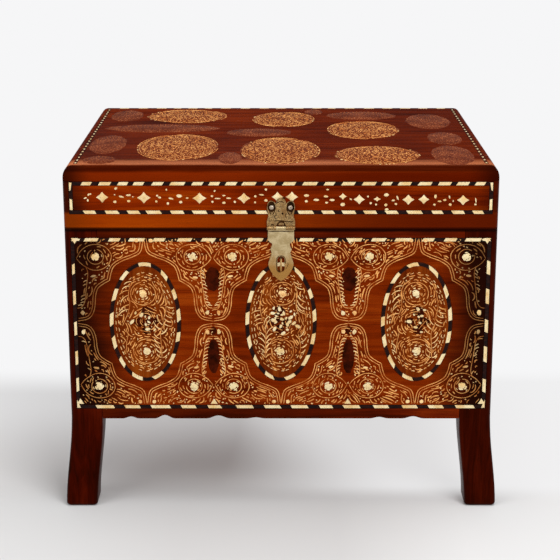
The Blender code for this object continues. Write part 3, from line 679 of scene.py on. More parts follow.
def bands(left: np.ndarray, right: np.ndarray, rise: float,
          inset: float = 0.12) -> tuple[np.ndarray, np.ndarray]:
    """Flat tiles between a left and a right edge, with a small chamfer round the top.

    Args:
        left: (N, K, 2) left edges in millimetres.
        right: (N, K, 2) right edges, from the same end.
        rise: how far the tile stands out.
        inset: how much narrower the top is on each edge.

    Returns:
        (N, 4K, 3) vertices and the faces of one tile.
    """
    across = right - left
    across /= np.maximum(np.linalg.norm(across, axis=2, keepdims=True), 1e-9)
    along = np.zeros_like(left)
    ends = left[:, 1] - left[:, 0], left[:, -1] - left[:, -2]
    along[:, 0] = ends[0] / np.linalg.norm(ends[0], axis=1, keepdims=True)
    along[:, -1] = -ends[1] / np.linalg.norm(ends[1], axis=1, keepdims=True)
    low = np.full(left.shape[:2] + (1,), -SINK)
    high = np.full(left.shape[:2] + (1,), rise)
    rings = np.stack([
        np.concatenate([left, low], 2),
        np.concatenate([left + (across + along) * inset, high], 2),
        np.concatenate([right - (across - along) * inset, high], 2),
        np.concatenate([right, low], 2),
    ], axis=2)
    count, steps = left.shape[:2]
    return rings.reshape(count, steps * 4, 3), wall(steps, 4)


def chips(outlines: np.ndarray, rise: float, crown: float,
          share: float = 0.86) -> tuple[np.ndarray, np.ndarray]:
    """Chips of bone: an outline, a smaller outline above it and a crown in the middle.

    Args:
        outlines: (N, M, 2) anticlockwise outlines in millimetres.
        rise: how far the upper outline stands out.
        crown: how far the middle stands out.
        share: the upper outline's size as a share of the lower one's.

    Returns:
        (N, 2M + 2, 3) vertices and the faces of one chip.
    """
    count, size = outlines.shape[:2]
    middle = outlines.mean(axis=1, keepdims=True)
    upper = middle + (outlines - middle) * share
    rim = np.concatenate([outlines, np.full((count, size, 1), -SINK)], 2)
    top = np.concatenate([upper, np.full((count, size, 1), rise)], 2)
    foot = np.concatenate([middle, np.full((count, 1, 1), -SINK)], 2)
    peak = np.concatenate([middle, np.full((count, 1, 1), crown)], 2)
    place = np.arange(size)
    after = (place + 1) % size
    sides = halves(np.stack([place, after, after + size, place + size], 1))
    cap = np.stack([place + size, after + size, np.full(size, 2 * size + 1)], 1)
    base = np.stack([after, place, np.full(size, 2 * size)], 1)
    return np.concatenate([rim, top, foot, peak], axis=1), np.concatenate([sides, cap, base])


# ---------------------------------------------------------------- curves on a face


def resampled(points: Sequence[Sequence[float]], count: int) -> np.ndarray:
    """Points at equal distances along a polyline.

    Args:
        points: the polyline.
        count: how many points to return.

    Returns:
        (count, 2) places.
    """
    line = np.asarray(points, float)
    steps = np.r_[0, np.cumsum(np.linalg.norm(np.diff(line, axis=0), axis=1))]
    at = np.linspace(0, steps[-1], count)
    return np.stack([np.interp(at, steps, line[:, 0]), np.interp(at, steps, line[:, 1])], 1)


def flowing(points: Sequence[Sequence[float]], count: int) -> np.ndarray:
    """A smooth curve through the points (Catmull-Rom), at equal distances.

    Between points b and c, with neighbours a and d, the curve at share t is half of
    2b + (c - a)t + (2a - 5b + 4c - d)t^2 + (3b - a - 3c + d)t^3.

    Args:
        points: places that the curve passes through.
        count: how many points to return.

    Returns:
        (count, 2) places.
    """
    line = np.asarray(points, float)
    padded = np.concatenate([2 * line[:1] - line[1:2], line, 2 * line[-1:] - line[-2:-1]])
    a, b, c, d = (padded[k:len(line) - 1 + k, None, :] for k in range(4))
    t = np.linspace(0, 1, 12, endpoint=False)[None, :, None]
    curve = 0.5 * (2 * b + (c - a) * t + (2 * a - 5 * b + 4 * c - d) * t**2 + (3 * b - a - 3 * c + d) * t**3)
    return resampled(np.concatenate([curve.reshape(-1, 2), line[-1:]]), count)


def within(outline: np.ndarray) -> Region:
    """A test for places inside a closed outline: a ray to the right crosses it an odd number of times.

    Args:
        outline: (K, 2) corners.

    Returns:
        The test.
    """
    low, high = outline, np.roll(outline, -1, axis=0)

    def test(places: np.ndarray) -> np.ndarray:
        """True for each of the (..., 2) places that is inside.

        Args:
            places: the places.

        Returns:
            The (...) answers.
        """
        u, v = places[..., 0, None], places[..., 1, None]
        spans = (low[:, 1] > v) != (high[:, 1] > v)
        rise = np.where(high[:, 1] == low[:, 1], 1e-9, high[:, 1] - low[:, 1])
        crossing = low[:, 0] + (v - low[:, 1]) * (high[:, 0] - low[:, 0]) / rise
        return (spans & (u < crossing)).sum(axis=-1) % 2 == 1

    return test


def oval(centre: Sequence[float], half_u: float, half_v: float, share: float) -> Region:
    """A test for places inside a share of an ellipse."""
    size = np.array([half_u * share, half_v * share])
    return lambda places: (((places - centre) / size) ** 2).sum(axis=-1) < 1


def ellipse(centre: Sequence[float], half_u: float, half_v: float, count: int, start: float = 0.0,
            turn: float = 2 * math.pi) -> np.ndarray:
    """Points on an ellipse, from the angle start through the angle turn."""
    angle = start + turn * np.linspace(0, 1, count)
    return np.stack([centre[0] + half_u * np.cos(angle), centre[1] + half_v * np.sin(angle)], 1)


def turned(shape: np.ndarray, turn: float) -> np.ndarray:
    """(K, 2) places turned anticlockwise round the origin by an angle in radians."""
    return shape @ np.array([[math.cos(turn), math.sin(turn)], [-math.sin(turn), math.cos(turn)]])


def mirrored(outline: Sequence[Place], side: int, corner: Place) -> np.ndarray:
    """An outline drawn from a corner, mirrored where side is -1 and still anticlockwise."""
    return (np.array(outline) * (side, 1) + corner)[::side]


def arcs(places: np.ndarray, angles: np.ndarray, lengths: np.ndarray, bends: np.ndarray,
         steps: int = 5) -> np.ndarray:
    """Bent strokes: place + length * (s along + bend * (s^2 - 1/4) across) for s from -1/2 to 1/2.

    Args:
        places: (N, 2) middles of the strokes.
        angles: their directions, in radians.
        lengths: their lengths.
        bends: how far they bend, to the right with a plus.
        steps: how many points a stroke has.

    Returns:
        (N, steps, 2) places.
    """
    s = np.linspace(-0.5, 0.5, steps)[None, :, None]
    along = np.stack([np.cos(angles), np.sin(angles)], 1)[:, None]
    across = np.stack([-np.sin(angles), np.cos(angles)], 1)[:, None]
    bent = s * along + bends[:, None, None] * (s**2 - 0.25) * across
    return places[:, None] + lengths[:, None, None] * bent


@dataclass
class Face:
    """A flat face that carries inlay, in metres, with the body that it moves with."""

    name: str
    body: str
    origin: np.ndarray
    right: np.ndarray
    up: np.ndarray

    def place(self, points: np.ndarray) -> np.ndarray:
        """Turns (..., 3) places u, v, h in millimetres into metres.

        Args:
            points: the places.

        Returns:
            (..., 3) places in metres.
        """
        out = np.cross(self.right, self.up)
        scaled = points * MM
        return self.origin + scaled[..., :1] * self.right + scaled[..., 1:2] * self.up + scaled[..., 2:] * out


class Sheet:
    """The drawing of one face: strokes, chips and tiles, and a map of the ground that they take."""

    def __init__(self, face: Face, half_u: float, half_v: float, seed: int, frame_width: float = 0.0) -> None:
        """Starts a drawing that reaches half_u and half_v millimetres from the face's origin.

        Args:
            face: the face that it is drawn on.
            half_u: how far it reaches to each side.
            half_v: how far it reaches up and down.
            seed: the seed of its random numbers.
            frame_width: the width of a border that lines and strokes stay inside.
        """
        self.face = face
        self.half = np.array([half_u, half_v])
        self.limit = self.half - frame_width
        self.worn = np.inf
        self.rng = np.random.default_rng(seed)
        self.taken = np.zeros(np.ceil(2 * self.half / CELL).astype(int) + 1, bool)
        self.soups: dict[Kind, Soup] = {}

    def soup(self, kind: Kind) -> Soup:
        """The gathered solids of one kind."""
        return self.soups.setdefault(kind, Soup())

    def cells(self, places: np.ndarray) -> np.ndarray:
        """The map's cells under (..., 2) places, kept on the map."""
        found = np.rint((places + self.half) / CELL).astype(int)
        return np.clip(found, 0, np.array(self.taken.shape) - 1)

    def take(self, places: np.ndarray, radius: float) -> None:
        """Marks the ground within a radius of each place.

        Args:
            places: (N, 2) places.
            radius: the radius.
        """
        reach = int(math.ceil(radius / CELL))
        offsets = np.stack(np.meshgrid(*[np.arange(-reach, reach + 1)] * 2, indexing="ij"), -1).reshape(-1, 2)
        offsets = offsets[(offsets**2).sum(1) * CELL**2 <= radius**2]
        cells = self.cells(places).reshape(-1, 1, 2) + offsets
        cells = np.clip(cells, 0, np.array(self.taken.shape) - 1)
        self.taken[cells[..., 0], cells[..., 1]] = True

    def free(self, places: np.ndarray) -> bool:
        """Whether none of the places is taken or off the sheet.

        Args:
            places: (..., 2) places.

        Returns:
            The answer.
        """
        cells = self.cells(places)
        on_sheet = bool((np.abs(places) <= self.limit).all())
        return on_sheet and not self.taken[cells[..., 0], cells[..., 1]].any()

    def strokes(self, paths: np.ndarray, widths: np.ndarray, kind: Kind) -> None:
        """Adds lines of inlay along (N, K, 2) paths with (N, K) widths."""
        points, faces = roofs(paths, widths)
        self.soup(kind).add(self.face.place(points), faces)

    def wire(self, points: np.ndarray, width: float, kind: Kind = Kind.WIRE, room: float = 1.2) -> None:
        """Lays one long line, cut where it leaves the sheet.

        Args:
            points: (K, 2) places along it.
            width: its width.
            kind: what it is cut from.
            room: the ground that it keeps clear on each side.
        """
        inside = (np.abs(points) <= self.limit).all(axis=1)
        breaks = np.flatnonzero(np.diff(inside.astype(int))) + 1
        for run, here in zip(np.split(points, breaks), np.split(inside, breaks)):
            if len(run) > 2 and here[0]:
                swell = 1 + 0.14 * np.sin(np.arange(len(run)) * 0.9 + self.rng.uniform(0, 6))
                swell[[0, -1]] *= 0.4
                self.strokes(run[None], (width * swell)[None], kind)
                self.take(resampled(run, max(4, 2 * len(run))), room)

    def dashes(self, paths: np.ndarray, width: float, kind: Kind, room: float, blunt: float = 0.35,
               crowded: bool = False) -> None:
        """Lays short strokes where the ground is free, each thickest near its middle.

        Args:
            paths: (N, K, 2) places.
            width: the mean width.
            kind: what they are cut from.
            room: the ground that one keeps clear.
            blunt: the width of an end as a share of the middle's.
            crowded: whether they may touch what is already there.
        """
        share = np.linspace(0, 1, paths.shape[1])
        shape = blunt + (1 - blunt) * np.sin(np.pi * (0.08 + 0.84 * share)) ** 0.8
        kept = []
        for path in paths:
            missing = np.abs(path[0, 0]) > self.worn and self.rng.random() < 0.65
            if not missing and (self.free(path) or crowded and (np.abs(path) <= self.limit).all()):
                kept.append(path)
                self.take(path, room)
        if kept:
            wide = width * self.rng.uniform(0.75, 1.25, (len(kept), 1)) * shape
            self.strokes(np.stack(kept), wide, kind)

    def fill(self, region: Region, box: Sequence[float], flow: Callable[[np.ndarray], np.ndarray],
             kind: Kind, tries: int, length: float, width: float, room: float, stray: float) -> None:
        """Fills free ground with strokes that follow a flow.

        Each stroke is traced from its first place in five equal steps, and one that turns by more than 60
        degrees in a step is left out.

        Args:
            region: the test for places that may be filled.
            box: lowest u, lowest v, highest u and highest v of the region.
            flow: the direction at each place, in radians.
            kind: what the strokes are cut from.
            tries: how many strokes are tried.
            length: their mean length.
            width: their mean width.
            room: the ground that one keeps clear.
            stray: how far a stroke may turn from the flow.
        """
        rng = self.rng
        path = [rng.uniform(box[:2], box[2:], (tries, 2))]
        turn = rng.normal(0, stray, tries)
        curl = rng.uniform(-0.32, 0.32, tries) * (1 + 3 * stray)
        reach = (length * rng.uniform(0.5, 1.3, tries) / 5)[:, None]
        headings = []
        for step in range(5):
            headings.append(flow(path[-1]) + turn + curl * (step - 2))
            path.append(path[-1] + reach * np.stack([np.cos(headings[-1]), np.sin(headings[-1])], 1))
        paths = np.stack(path, 1)
        bend = np.cos(np.diff(np.stack(headings, 1), axis=1)).min(axis=1)
        good = region(paths).all(axis=1) & (bend > 0.5)
        self.dashes(paths[good], width, kind, room)

    def chip(self, centre: Sequence[float], half_u: float, half_v: float, turn: float = 0.0,
             kind: Kind = Kind.BONE, corners: int = 8, ragged: float = 0.12, room: float = 0.6) -> None:
        """Sets one chip of bone.

        Args:
            centre: its place.
            half_u: half its length before it is turned.
            half_v: half its height.
            turn: how far it is turned, in radians.
            kind: what it is cut from.
            corners: how many corners it has.
            ragged: how uneven its outline is.
            room: the ground that it keeps clear past its outline.
        """
        angle = np.arange(corners) * 2 * np.pi / corners
        size = self.rng.uniform(1 - ragged, 1 + ragged, corners)
        shape = np.stack([half_u * np.cos(angle) * size, half_v * np.sin(angle) * size], 1)
        self.shape(np.asarray(centre) + turned(shape, turn), kind, room)

    def ground(self, centre: Sequence[float], half_u: float, half_v: float, kind: Kind,
               turn: float = 0.0) -> None:
        """Lays a thin, slightly wavy oval of another wood under strokes to come, so it takes no ground.

        Args:
            centre: its place.
            half_u: half its width before it is turned.
            half_v: half its height.
            kind: what it is cut from.
            turn: how far it is turned, in radians.
        """
        if (np.abs(centre) + (half_u, half_v) > self.limit + 1.5).any():
            return
        corners = np.arange(48)
        edge = ellipse((0, 0), half_u, half_v, len(corners) + 1)[:-1]
        waves = sum(np.sin(corners * pace + self.rng.uniform(0, 6)) for pace in (0.8, 1.3))
        edge *= 1 + 0.016 * waves[:, None]
        outline = np.clip(np.asarray(centre) + turned(edge, turn), -self.half, self.half)
        points, faces = chips(outline[None], 0.05, 0.05, 0.985)
        self.soup(kind).add(self.face.place(points), faces)

    def shape(self, outline: np.ndarray, kind: Kind = Kind.BONE, room: float = 0.6) -> None:
        """Sets one chip with its own anticlockwise outline.

        Args:
            outline: (K, 2) corners.
            kind: what it is cut from.
            room: the ground that it keeps clear.
        """
        if (np.abs(outline) > self.half).any():
            return
        points, faces = chips(outline[None], 0.16, 0.24)
        self.soup(kind).add(self.face.place(points), faces)
        middle = outline.mean(axis=0)
        spokes = middle + (outline[:, None] - middle) * np.linspace(0, 1, 6)[None, :, None]
        self.take(spokes.reshape(-1, 2), room)

    def tiles(self, left: np.ndarray, right: np.ndarray, kind: Kind, rise: float = 0.16) -> None:
        """Sets flat tiles between (N, K, 2) left and right edges.

        Args:
            left: the left edges.
            right: the right edges.
            kind: what they are cut from.
            rise: how far they stand out.
        """
        points, faces = bands(left, right, rise)
        self.soup(kind).add(self.face.place(points), faces)
        self.take(np.concatenate([left, right, (left + right) / 2]).reshape(-1, 2), 1.4)

    # ---- motifs

    def run(self, start: Sequence[float], end: Sequence[float], width: float, tile: float, gap: float,
            slant: float) -> None:
        """Sets a row of bone tiles with slanted ends, as on a rule of stringing.

        Args:
            start: where the row's middle line starts.
            end: where it ends.
            width: the tiles' width across the row.
            tile: their mean length.
            gap: the mean gap between two.
            slant: how far the left edge runs ahead of the right one.
        """
        start, end = np.asarray(start, float), np.asarray(end, float)
        length = np.linalg.norm(end - start)
        along = (end - start) / length
        across = np.array([-along[1], along[0]]) * width / 2
        count = max(1, round(length / (tile + gap)))
        sizes = self.rng.uniform(0.8, 1.2, (count, 2)) * (gap, tile)
        edges = np.cumsum(sizes.ravel()) * (length - gap * 0.5) / sizes.sum()
        edges = edges.reshape(count, 2)
        wobble = self.rng.normal(0, 0.13, (count, 2, 2))
        left = np.clip(edges + slant / 2 + wobble[..., 0], 0.1, length - 0.1)
        right = np.clip(edges - slant / 2 + wobble[..., 1], 0.1, length - 0.1)
        line = start + along * left[..., None], start + along * right[..., None]
        self.tiles(line[0] + across, line[1] - across, Kind.BONE)

    def ring(self, centre: Sequence[float], half_u: float, half_v: float, width: float, pairs: int) -> None:
        """Sets a ring of bone and ebony tiles in turn round an ellipse.

        Args:
            centre: the ring's middle.
            half_u: half its width outside.
            half_v: half its height outside.
            width: the tiles' width.
            pairs: how many tiles there are of each kind.
        """
        fine = ellipse((0, 0), half_u, half_v, 721)
        steps = np.r_[0, np.cumsum(np.linalg.norm(np.diff(fine, axis=0), axis=1))]
        sizes = self.rng.uniform(0.84, 1.16, 2 * pairs)
        cuts = np.r_[0, np.cumsum(sizes)] / sizes.sum() * steps[-1] + self.rng.uniform(0, 6)
        slant = self.rng.uniform(0.2, 1.5, 2 * pairs + 1)
        slant[-1] = slant[0]
        angle = np.linspace(0, 2 * np.pi, 721)
        share = np.linspace(0, 1, 6)
        for kind, first in ((Kind.BONE, 0), (Kind.EBONY, 1)):
            chosen = np.arange(first, 2 * pairs, 2)
            low, high = cuts[chosen, None] + 0.06, cuts[chosen + 1, None] - 0.06
            tilt_low, tilt_high = slant[chosen, None], slant[chosen + 1, None]
            outer = low + tilt_low + (high + tilt_high - low - tilt_low) * share
            inner = low - tilt_low + (high - tilt_high - low + tilt_low) * share
            edges = []
            for at, inset in ((inner, width), (outer, 0.0)):
                turn = np.interp(at % steps[-1], steps, angle)
                edge = np.stack([(half_u - inset) * np.cos(turn), (half_v - inset) * np.sin(turn)], 2)
                edges.append(edge + centre)
            self.tiles(edges[0], edges[1], kind, 0.2 if kind is Kind.BONE else 0.12)

    def rosette(self, centre: Sequence[float], radius: float, wire: float, bright: bool = True) -> None:
        """Draws a flower: a ragged bone heart in chips, rings of dashes, and a wire between or round them.

        Args:
            centre: its place.
            radius: its radius.
            wire: the radius of its wire as a share of its own.
            bright: whether its heart is bone, or the duller line.
        """
        rng, centre = self.rng, np.asarray(centre, float)
        kind = Kind.BONE if bright else Kind.PALE
        self.chip(centre, radius * 0.25, radius * 0.22, 0, kind, 11, 0.16, 0.1)
        for number in range(8):
            angle = number * 0.8 + rng.uniform(-0.3, 0.3)
            place = centre + radius * rng.uniform(0.2, 0.3) * np.array([math.cos(angle), math.sin(angle)])
            self.chip(place, radius * 0.07, radius * 0.125, angle, kind, 7, 0.3, 0.4)
        start = rng.uniform(0, 6)
        self.wire(ellipse(centre, radius * wire, radius * wire * 0.96, 44, start, 5.7), 1.0, room=1.0)
        middle, last = (wire + 0.2, 0.99) if wire < 0.7 else (0.63, 0.82)
        for share, length in ((0.45, 2.8), (middle, 4.2), (last, 5.0)):
            around = radius * share
            count = max(6, int(2 * np.pi * around / (length + 1.3)))
            angles = (np.arange(count) + rng.uniform(-0.2, 0.2, count)) * 2 * np.pi / count
            places = centre + around * np.stack([np.cos(angles), np.sin(angles)], 1)
            bends = np.full(count, length / around * 0.55)
            paths = arcs(places, angles + np.pi / 2 + rng.normal(0.1, 0.22, count),
                         length * rng.uniform(0.7, 1.15, count), bends)
            self.dashes(paths, 1.3, Kind.PALE if share < 0.5 else Kind.WIRE, 0.95)

    def fern(self, stem: Sequence[Sequence[float]], length: tuple[float, float], lean: float,
             sides: Sequence[int], pitch: float, width: float = 1.35) -> None:
        """Draws a stem with curved leaves on one or both sides.

        Args:
            stem: places that the stem passes through.
            length: the length of the first and the last leaf.
            lean: the angle between a leaf and the stem, in radians.
            sides: +1 for leaves on the left of the stem, -1 for the right.
            pitch: the distance from one leaf to the next.
            width: the leaves' width.
        """
        rough = flowing(stem, 60)
        span = np.linalg.norm(np.diff(rough, axis=0), axis=1).sum()
        line = flowing(stem, max(5, int(span / pitch)))
        self.wire(flowing(stem, max(8, int(span / 1.6))), 0.85, room=0.55)
        along = np.gradient(line, axis=0)
        heading = np.arctan2(along[:, 1], along[:, 0])
        for side in sides:
            angles = heading + side * lean + self.rng.normal(0, 0.07, len(line))
            sizes = np.linspace(*length, len(line)) * self.rng.uniform(0.85, 1.08, len(line))
            away = np.stack([np.cos(angles), np.sin(angles)], 1)
            places = line + away * (sizes / 2 + 0.75)[:, None]
            leaves = arcs(places, angles, sizes, np.full(len(line), 0.5 * side), 6)
            self.dashes(leaves, width, Kind.PALE, 0.8)

    def pieces(self, slots: dict[Kind, str], dressing: dict[Kind, bpy.types.Material]) -> None:
        """Makes one piece of each kind and attaches it to its face's body.

        Args:
            slots: the slot of each kind; not used.
            dressing: the material of each kind.
        """
        for kind, soup in self.soups.items():
            made = soup.piece(f"inlay_{kind.value}_{self.face.name}", dressing[kind])
            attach(made, self.face.body)


# ---------------------------------------------------------------- the case's faces


@dataclass
class CaseFace:
    """The inlaid field of one side of the case: medallions, and cartouches that stand between them."""

    face: Face
    border: Span
    medallions: list[Span]
    seed: int
    border_width: float = 3.0
    ring_width: float = 3.2
    # The right half of an upper cartouche, from the middle of the face: its wing's edge, its shoulder down to
    # the middle line, the tongue inside and the loop round the flower.
    outline: tuple[Place, ...] = (
        (57.1, 70.0), (54.6, 62.0), (48.0, 57.4), (39.0, 53.8), (32.2, 49.2), (29.6, 43.6), (28.0, 36.8),
    )
    shoulder: tuple[Place, ...] = (
        (28.0, 36.8), (23.5, 34.2), (18.2, 30.0), (16.0, 23.4),
        (15.2, 14.6), (13.2, 7.6), (8.8, 2.9), (0.0, 1.0),
    )
    tongue: tuple[Place, ...] = (
        (8.4, 49.4), (10.0, 43.5), (9.2, 36.0), (7.8, 26.0), (6.6, 17.8), (3.8, 13.4), (0.0, 12.4),
    )
    loop: tuple[Place, ...] = (
        (0.9, 56.0), (5.0, 62.6), (11.0, 66.9), (18.5, 68.0), (25.8, 65.4), (30.0, 59.0),
        (28.0, 51.4), (22.0, 46.6), (15.0, 45.8), (9.5, 48.0), (4.5, 51.6), (0.9, 56.0),
    )
    # The ferns of a medallion, from its middle: stem, first and last leaf, lean, sides and pitch.
    ferns: tuple[tuple, ...] = (
        (((-10.2, 36.0), (-13.6, 26.0), (-13.0, 13.0), (-19.4, -3.4)), (7.5, 13.0), -0.8, (1,), 3.6),
        (((12.5, 35.0), (16.0, 25.0), (17.6, 13.0), (14.6, 0.0)), (6.5, 7.4), 1.35, (1,), 3.1),
        (((13.4, -32.0), (13.2, -22.0), (12.6, -10.0), (14.6, -3.0)), (5.0, 10.0), -0.8, (1, -1), 3.3),
        (((-16.2, -28.0), (-16.4, -20.0), (-14.4, -9.0)), (5.4, 9.4), 0.8, (1,), 3.3),
    )
    # The dark grounds behind a medallion's bone chips: place, half width and half height.
    shadows: tuple[tuple, ...] = (
        ((1.5, 9.6), 5.4, 4.4), ((-5.0, 0.0), 4.6, 4.0), ((6.0, 1.0), 6.0, 3.4), ((1.5, -6.4), 4.4, 4.2),
    )
    sheet: Sheet = field(init=False)

    def __post_init__(self) -> None:
        """Starts the drawing inside the border's outer edge."""
        low_u, low_v, high_u, high_v = self.border
        half_u = max(-low_u, high_u)
        half_v = max(-low_v, high_v)
        self.sheet = Sheet(self.face, half_u, half_v, self.seed, self.border_width + 0.2)
        self.sheet.worn = half_u - 25.0

    def draw(self) -> Sheet:
        """Draws the whole face and returns its sheet.

        Returns:
            The sheet.
        """
        self.stringing()
        for number, medallion in enumerate(self.medallions):
            self.medallion(medallion, number)
        centres = [m[0] for m in self.medallions]
        pitch = centres[1] - centres[0]
        axes = [centres[0] - pitch / 2 + pitch * k for k in range(len(centres) + 1)]
        for axis in axes:
            for up in (1, -1):
                self.cartouche(axis, up, pitch / 2)
        return self.sheet

    def stringing(self) -> None:
        """Sets the bone tiles of the border; the ebony between them is the border itself."""
        low_u, low_v, high_u, high_v = self.border
        half = self.border_width / 2
        width = self.border_width - TILE_PLAY
        sheet = self.sheet
        # Each row's ends, then its width, mean tile, mean gap and slant.
        rows = (
            ((low_u + 4, high_v - half), (high_u - 4, high_v - half), width, 11.6, 9.0, 1.6),
            ((low_u + 4, low_v + half), (high_u - 4, low_v + half), width, 13.0, 10.6, -1.6),
            ((low_u + half, high_v - 8), (low_u + half, low_v + 8), width * 0.8, 11.2, 15.0, -1.2),
            ((high_u - half, high_v - 8), (high_u - half, low_v + 8), width, 11.6, 13.4, 1.2),
        )
        for row in rows:
            sheet.run(*row)
        lower = ((0.3, 0.3), (3.6, 0.3), (0.3, 8.4))
        upper = ((0.2, -2.7), (7.2, -2.4), (8.2, -0.6), (1.8, -0.4))
        for side, edge in ((1, low_u), (-1, high_u)):
            sheet.shape(mirrored(lower, side, (edge, low_v)))
            sheet.shape(mirrored(upper, side, (edge, high_v)))
        margin = self.border_width + 0.4
        for v in np.arange(low_v, high_v, 1.0):
            sheet.take(np.array([[low_u + margin / 2, v], [high_u - margin / 2, v]]), margin)

    def medallion(self, place: Span, number: int) -> None:
        """Draws one medallion: its ring, two flowers, ferns, bone chips and strokes between them.

        Args:
            place: u and v of its middle, half its width and half its height.
            number: which medallion of the face it is.
        """
        u, v, half_u, half_v = place
        sheet, rng = self.sheet, self.sheet.rng
        half_u, half_v = half_u - 0.15, half_v - 0.15
        sheet.ring((u, v), half_u, half_v, self.ring_width, 13)
        hand = (1, -1, 1)[number % 3]
        lean = (-1.4, 1.2, -1.0)[number % 3]

        def at(*points: Place) -> np.ndarray:
            """Places in the medallion, turned to its own hand."""
            return np.array(points) * (hand, 1) + (u, v)

        for stem, leaves, tilt, sides, pitch in self.ferns:
            sheet.fern(at(*stem), leaves, tilt * hand, sides, pitch)
        sheet.rosette((u + lean, v + 25.2), 10.6, 0.98, bright=number == 2)
        sheet.rosette((u + 0.8 * hand, v - 25.8), 11.6, 0.98)
        for spot, size_u, size_v in self.shadows:
            sheet.ground(at(spot)[0], size_u, size_v, Kind.DARK, rng.uniform(-0.6, 0.6))
        self.scatter((u, v + 1.2), 60 if number == 1 else 18)
        for share in (0.83, 0.755):
            self.dashed_ring((u, v), half_u * share, half_v * share)
        hearts = np.array([[u + lean, v + 25.2], [u + 0.8, v - 25.8], [u, v + 1.2]])

        def flow(places: np.ndarray) -> np.ndarray:
            """Round the nearest of the medallion's three hearts.

            Args:
                places: (N, 2) places.

            Returns:
                Their N directions.
            """
            away = places[:, None] - hearts
            nearest = away[np.arange(len(places)), (away**2).sum(2).argmin(1)]
            return np.arctan2(nearest[:, 0], -nearest[:, 1])

        inside = oval((u, v), half_u, half_v, 0.855)
        box = (u - half_u, v - half_v, u + half_u, v + half_v)
        sheet.fill(inside, box, flow, Kind.WIRE, 1600, 8.0, 1.35, 1.2, 0.06)
        sheet.fill(inside, box, flow, Kind.WIRE, 2400, 3.8, 1.35, 1.15, 0.2)
        sheet.fill(inside, box, flow, Kind.PALE, 1500, 1.6, 1.1, 0.95, 1.0)

    def scatter(self, middle: Place, tries: int) -> None:
        """Scatters bone chips round a place, where the ground is free.

        Args:
            middle: the place.
            tries: how many chips are tried.
        """
        sheet, rng = self.sheet, self.sheet.rng
        reach = np.array([[1, 0], [-1, 0], [0, 1], [0, -1], [0, 0]])
        for _ in range(tries):
            spot = np.array([rng.normal(0, 6.4), rng.normal(0, 5.6)]) + middle
            size = rng.uniform(1.0, 2.1)
            if sheet.free(spot[None] + size * reach):
                sheet.chip(spot, size * 1.25, size * 0.8, rng.uniform(0, 3.1), Kind.BONE, 6, 0.25, 0.55)

    def dashed_ring(self, centre: Place, half_u: float, half_v: float) -> None:
        """Lays an ellipse of short strokes, about one to every 4.6 millimetres.

        Args:
            centre: the ellipse's middle.
            half_u: half its width.
            half_v: half its height.
        """
        sheet, rng = self.sheet, self.sheet.rng
        count = int(np.pi * (half_u + half_v) / 4.6)
        turn = (np.arange(count) + rng.uniform(-0.15, 0.15, count)) * 2 * np.pi / count
        places = np.stack([half_u * np.cos(turn), half_v * np.sin(turn)], 1) + centre
        tangent = np.arctan2(half_v * np.cos(turn), -half_u * np.sin(turn))
        strokes = arcs(places, tangent, rng.uniform(2.2, 3.6, count), np.full(count, -0.25))
        sheet.dashes(strokes, 1.05, Kind.PALE, 0.9)

    def cartouche(self, axis: float, up: int, reach: float) -> None:
        """Draws the half of a cartouche above or below the middle, with its wings.

        Args:
            axis: where its middle line is.
            up: +1 for the upper half and -1 for the lower.
            reach: how far its wings reach on each side.
        """
        sheet, rng = self.sheet, self.sheet.rng
        top = max(abs(self.border[1]), abs(self.border[3])) - self.border_width

        def at(points: np.ndarray, side: int = 1) -> np.ndarray:
            """Places in the cartouche, on the side and in the half that are drawn."""
            return np.asarray(points, float) * (side, up) + (axis, 0)

        edge = self.cartouche_edge(reach, top)
        inner = edge + normals_of(edge[None])[0] * -2.1
        inner = inner[(inner[:, 1] < top - 0.3) & (inner[:, 0] > -0.2)]
        for side in (1, -1):
            sheet.wire(at(edge, side), 1.0)
            sheet.wire(at(inner, side), 0.9)
        inside = within(at(np.concatenate([inner, (inner * (-1, 1))[::-1]])))
        hollows = ((38.0, 6.6, 10.5),) if up > 0 else ((30.5, 5.0, 15.5), (7.4, 2.8, 3.4))
        for height, half_u, half_v in hollows:
            sheet.ground(at((0, height)), half_u, half_v, Kind.DARK)
        tongue = flowing(self.tongue, 40)
        for side in (1, -1):
            sheet.wire(at(flowing(self.loop, 60), side), 1.0, room=1.0)
            sheet.rosette(at((16.8, 57.4), side), 11.6, 0.58)
            sheet.wire(at(tongue, side), 1.0, room=0.8)
            self.comb(at(tongue[3:34], side), np.gradient(tongue[3:34], axis=0) * (side, up), side, up)
            sheet.chip(at((14.6, 40.0 + rng.uniform(-1, 1)), side), 2.6, 1.1, 0.2 * side * up, Kind.PALE)
            low_kind = Kind.BONE if side * up < 0 else Kind.PALE
            sheet.chip(at((4.8, 8.4), side), 1.9, 2.3, 0, low_kind, ragged=0.25)
            sheet.chip(at((reach - 6.0, top - 3.2), side), 1.9, 1.8, 0, Kind.PALE)
        sheet.take(at(np.stack([np.zeros(16), np.linspace(19, 48, 16)], 1)), 4.6)
        tip = np.array([[-3.2, 0], [0, -5.2], [3.2, 0]]) + (0, top - 1.0)
        sheet.shape(at(tip[::up]))

        lines = np.concatenate([at(inner, side) for side in (1, -1)])
        heads = np.concatenate([np.gradient(at(inner, side), axis=0) for side in (1, -1)])
        headings = np.arctan2(heads[:, 1], heads[:, 0])

        def flow(places: np.ndarray) -> np.ndarray:
            """Along the nearest stretch of the outline."""
            nearest = ((places[:, None] - lines) ** 2).sum(2).argmin(1)
            return headings[nearest]

        low, high = sorted((0.0, up * top))
        box = (axis - reach, low, axis + reach, high)
        sheet.fill(inside, box, flow, Kind.WIRE, 1600, 9.0, 1.5, 1.2, 0.06)
        sheet.fill(inside, box, flow, Kind.WIRE, 2400, 3.8, 1.6, 1.15, 0.25)
        sheet.fill(inside, box, flow, Kind.PALE, 2400, 1.6, 1.4, 1.0, 1.0)

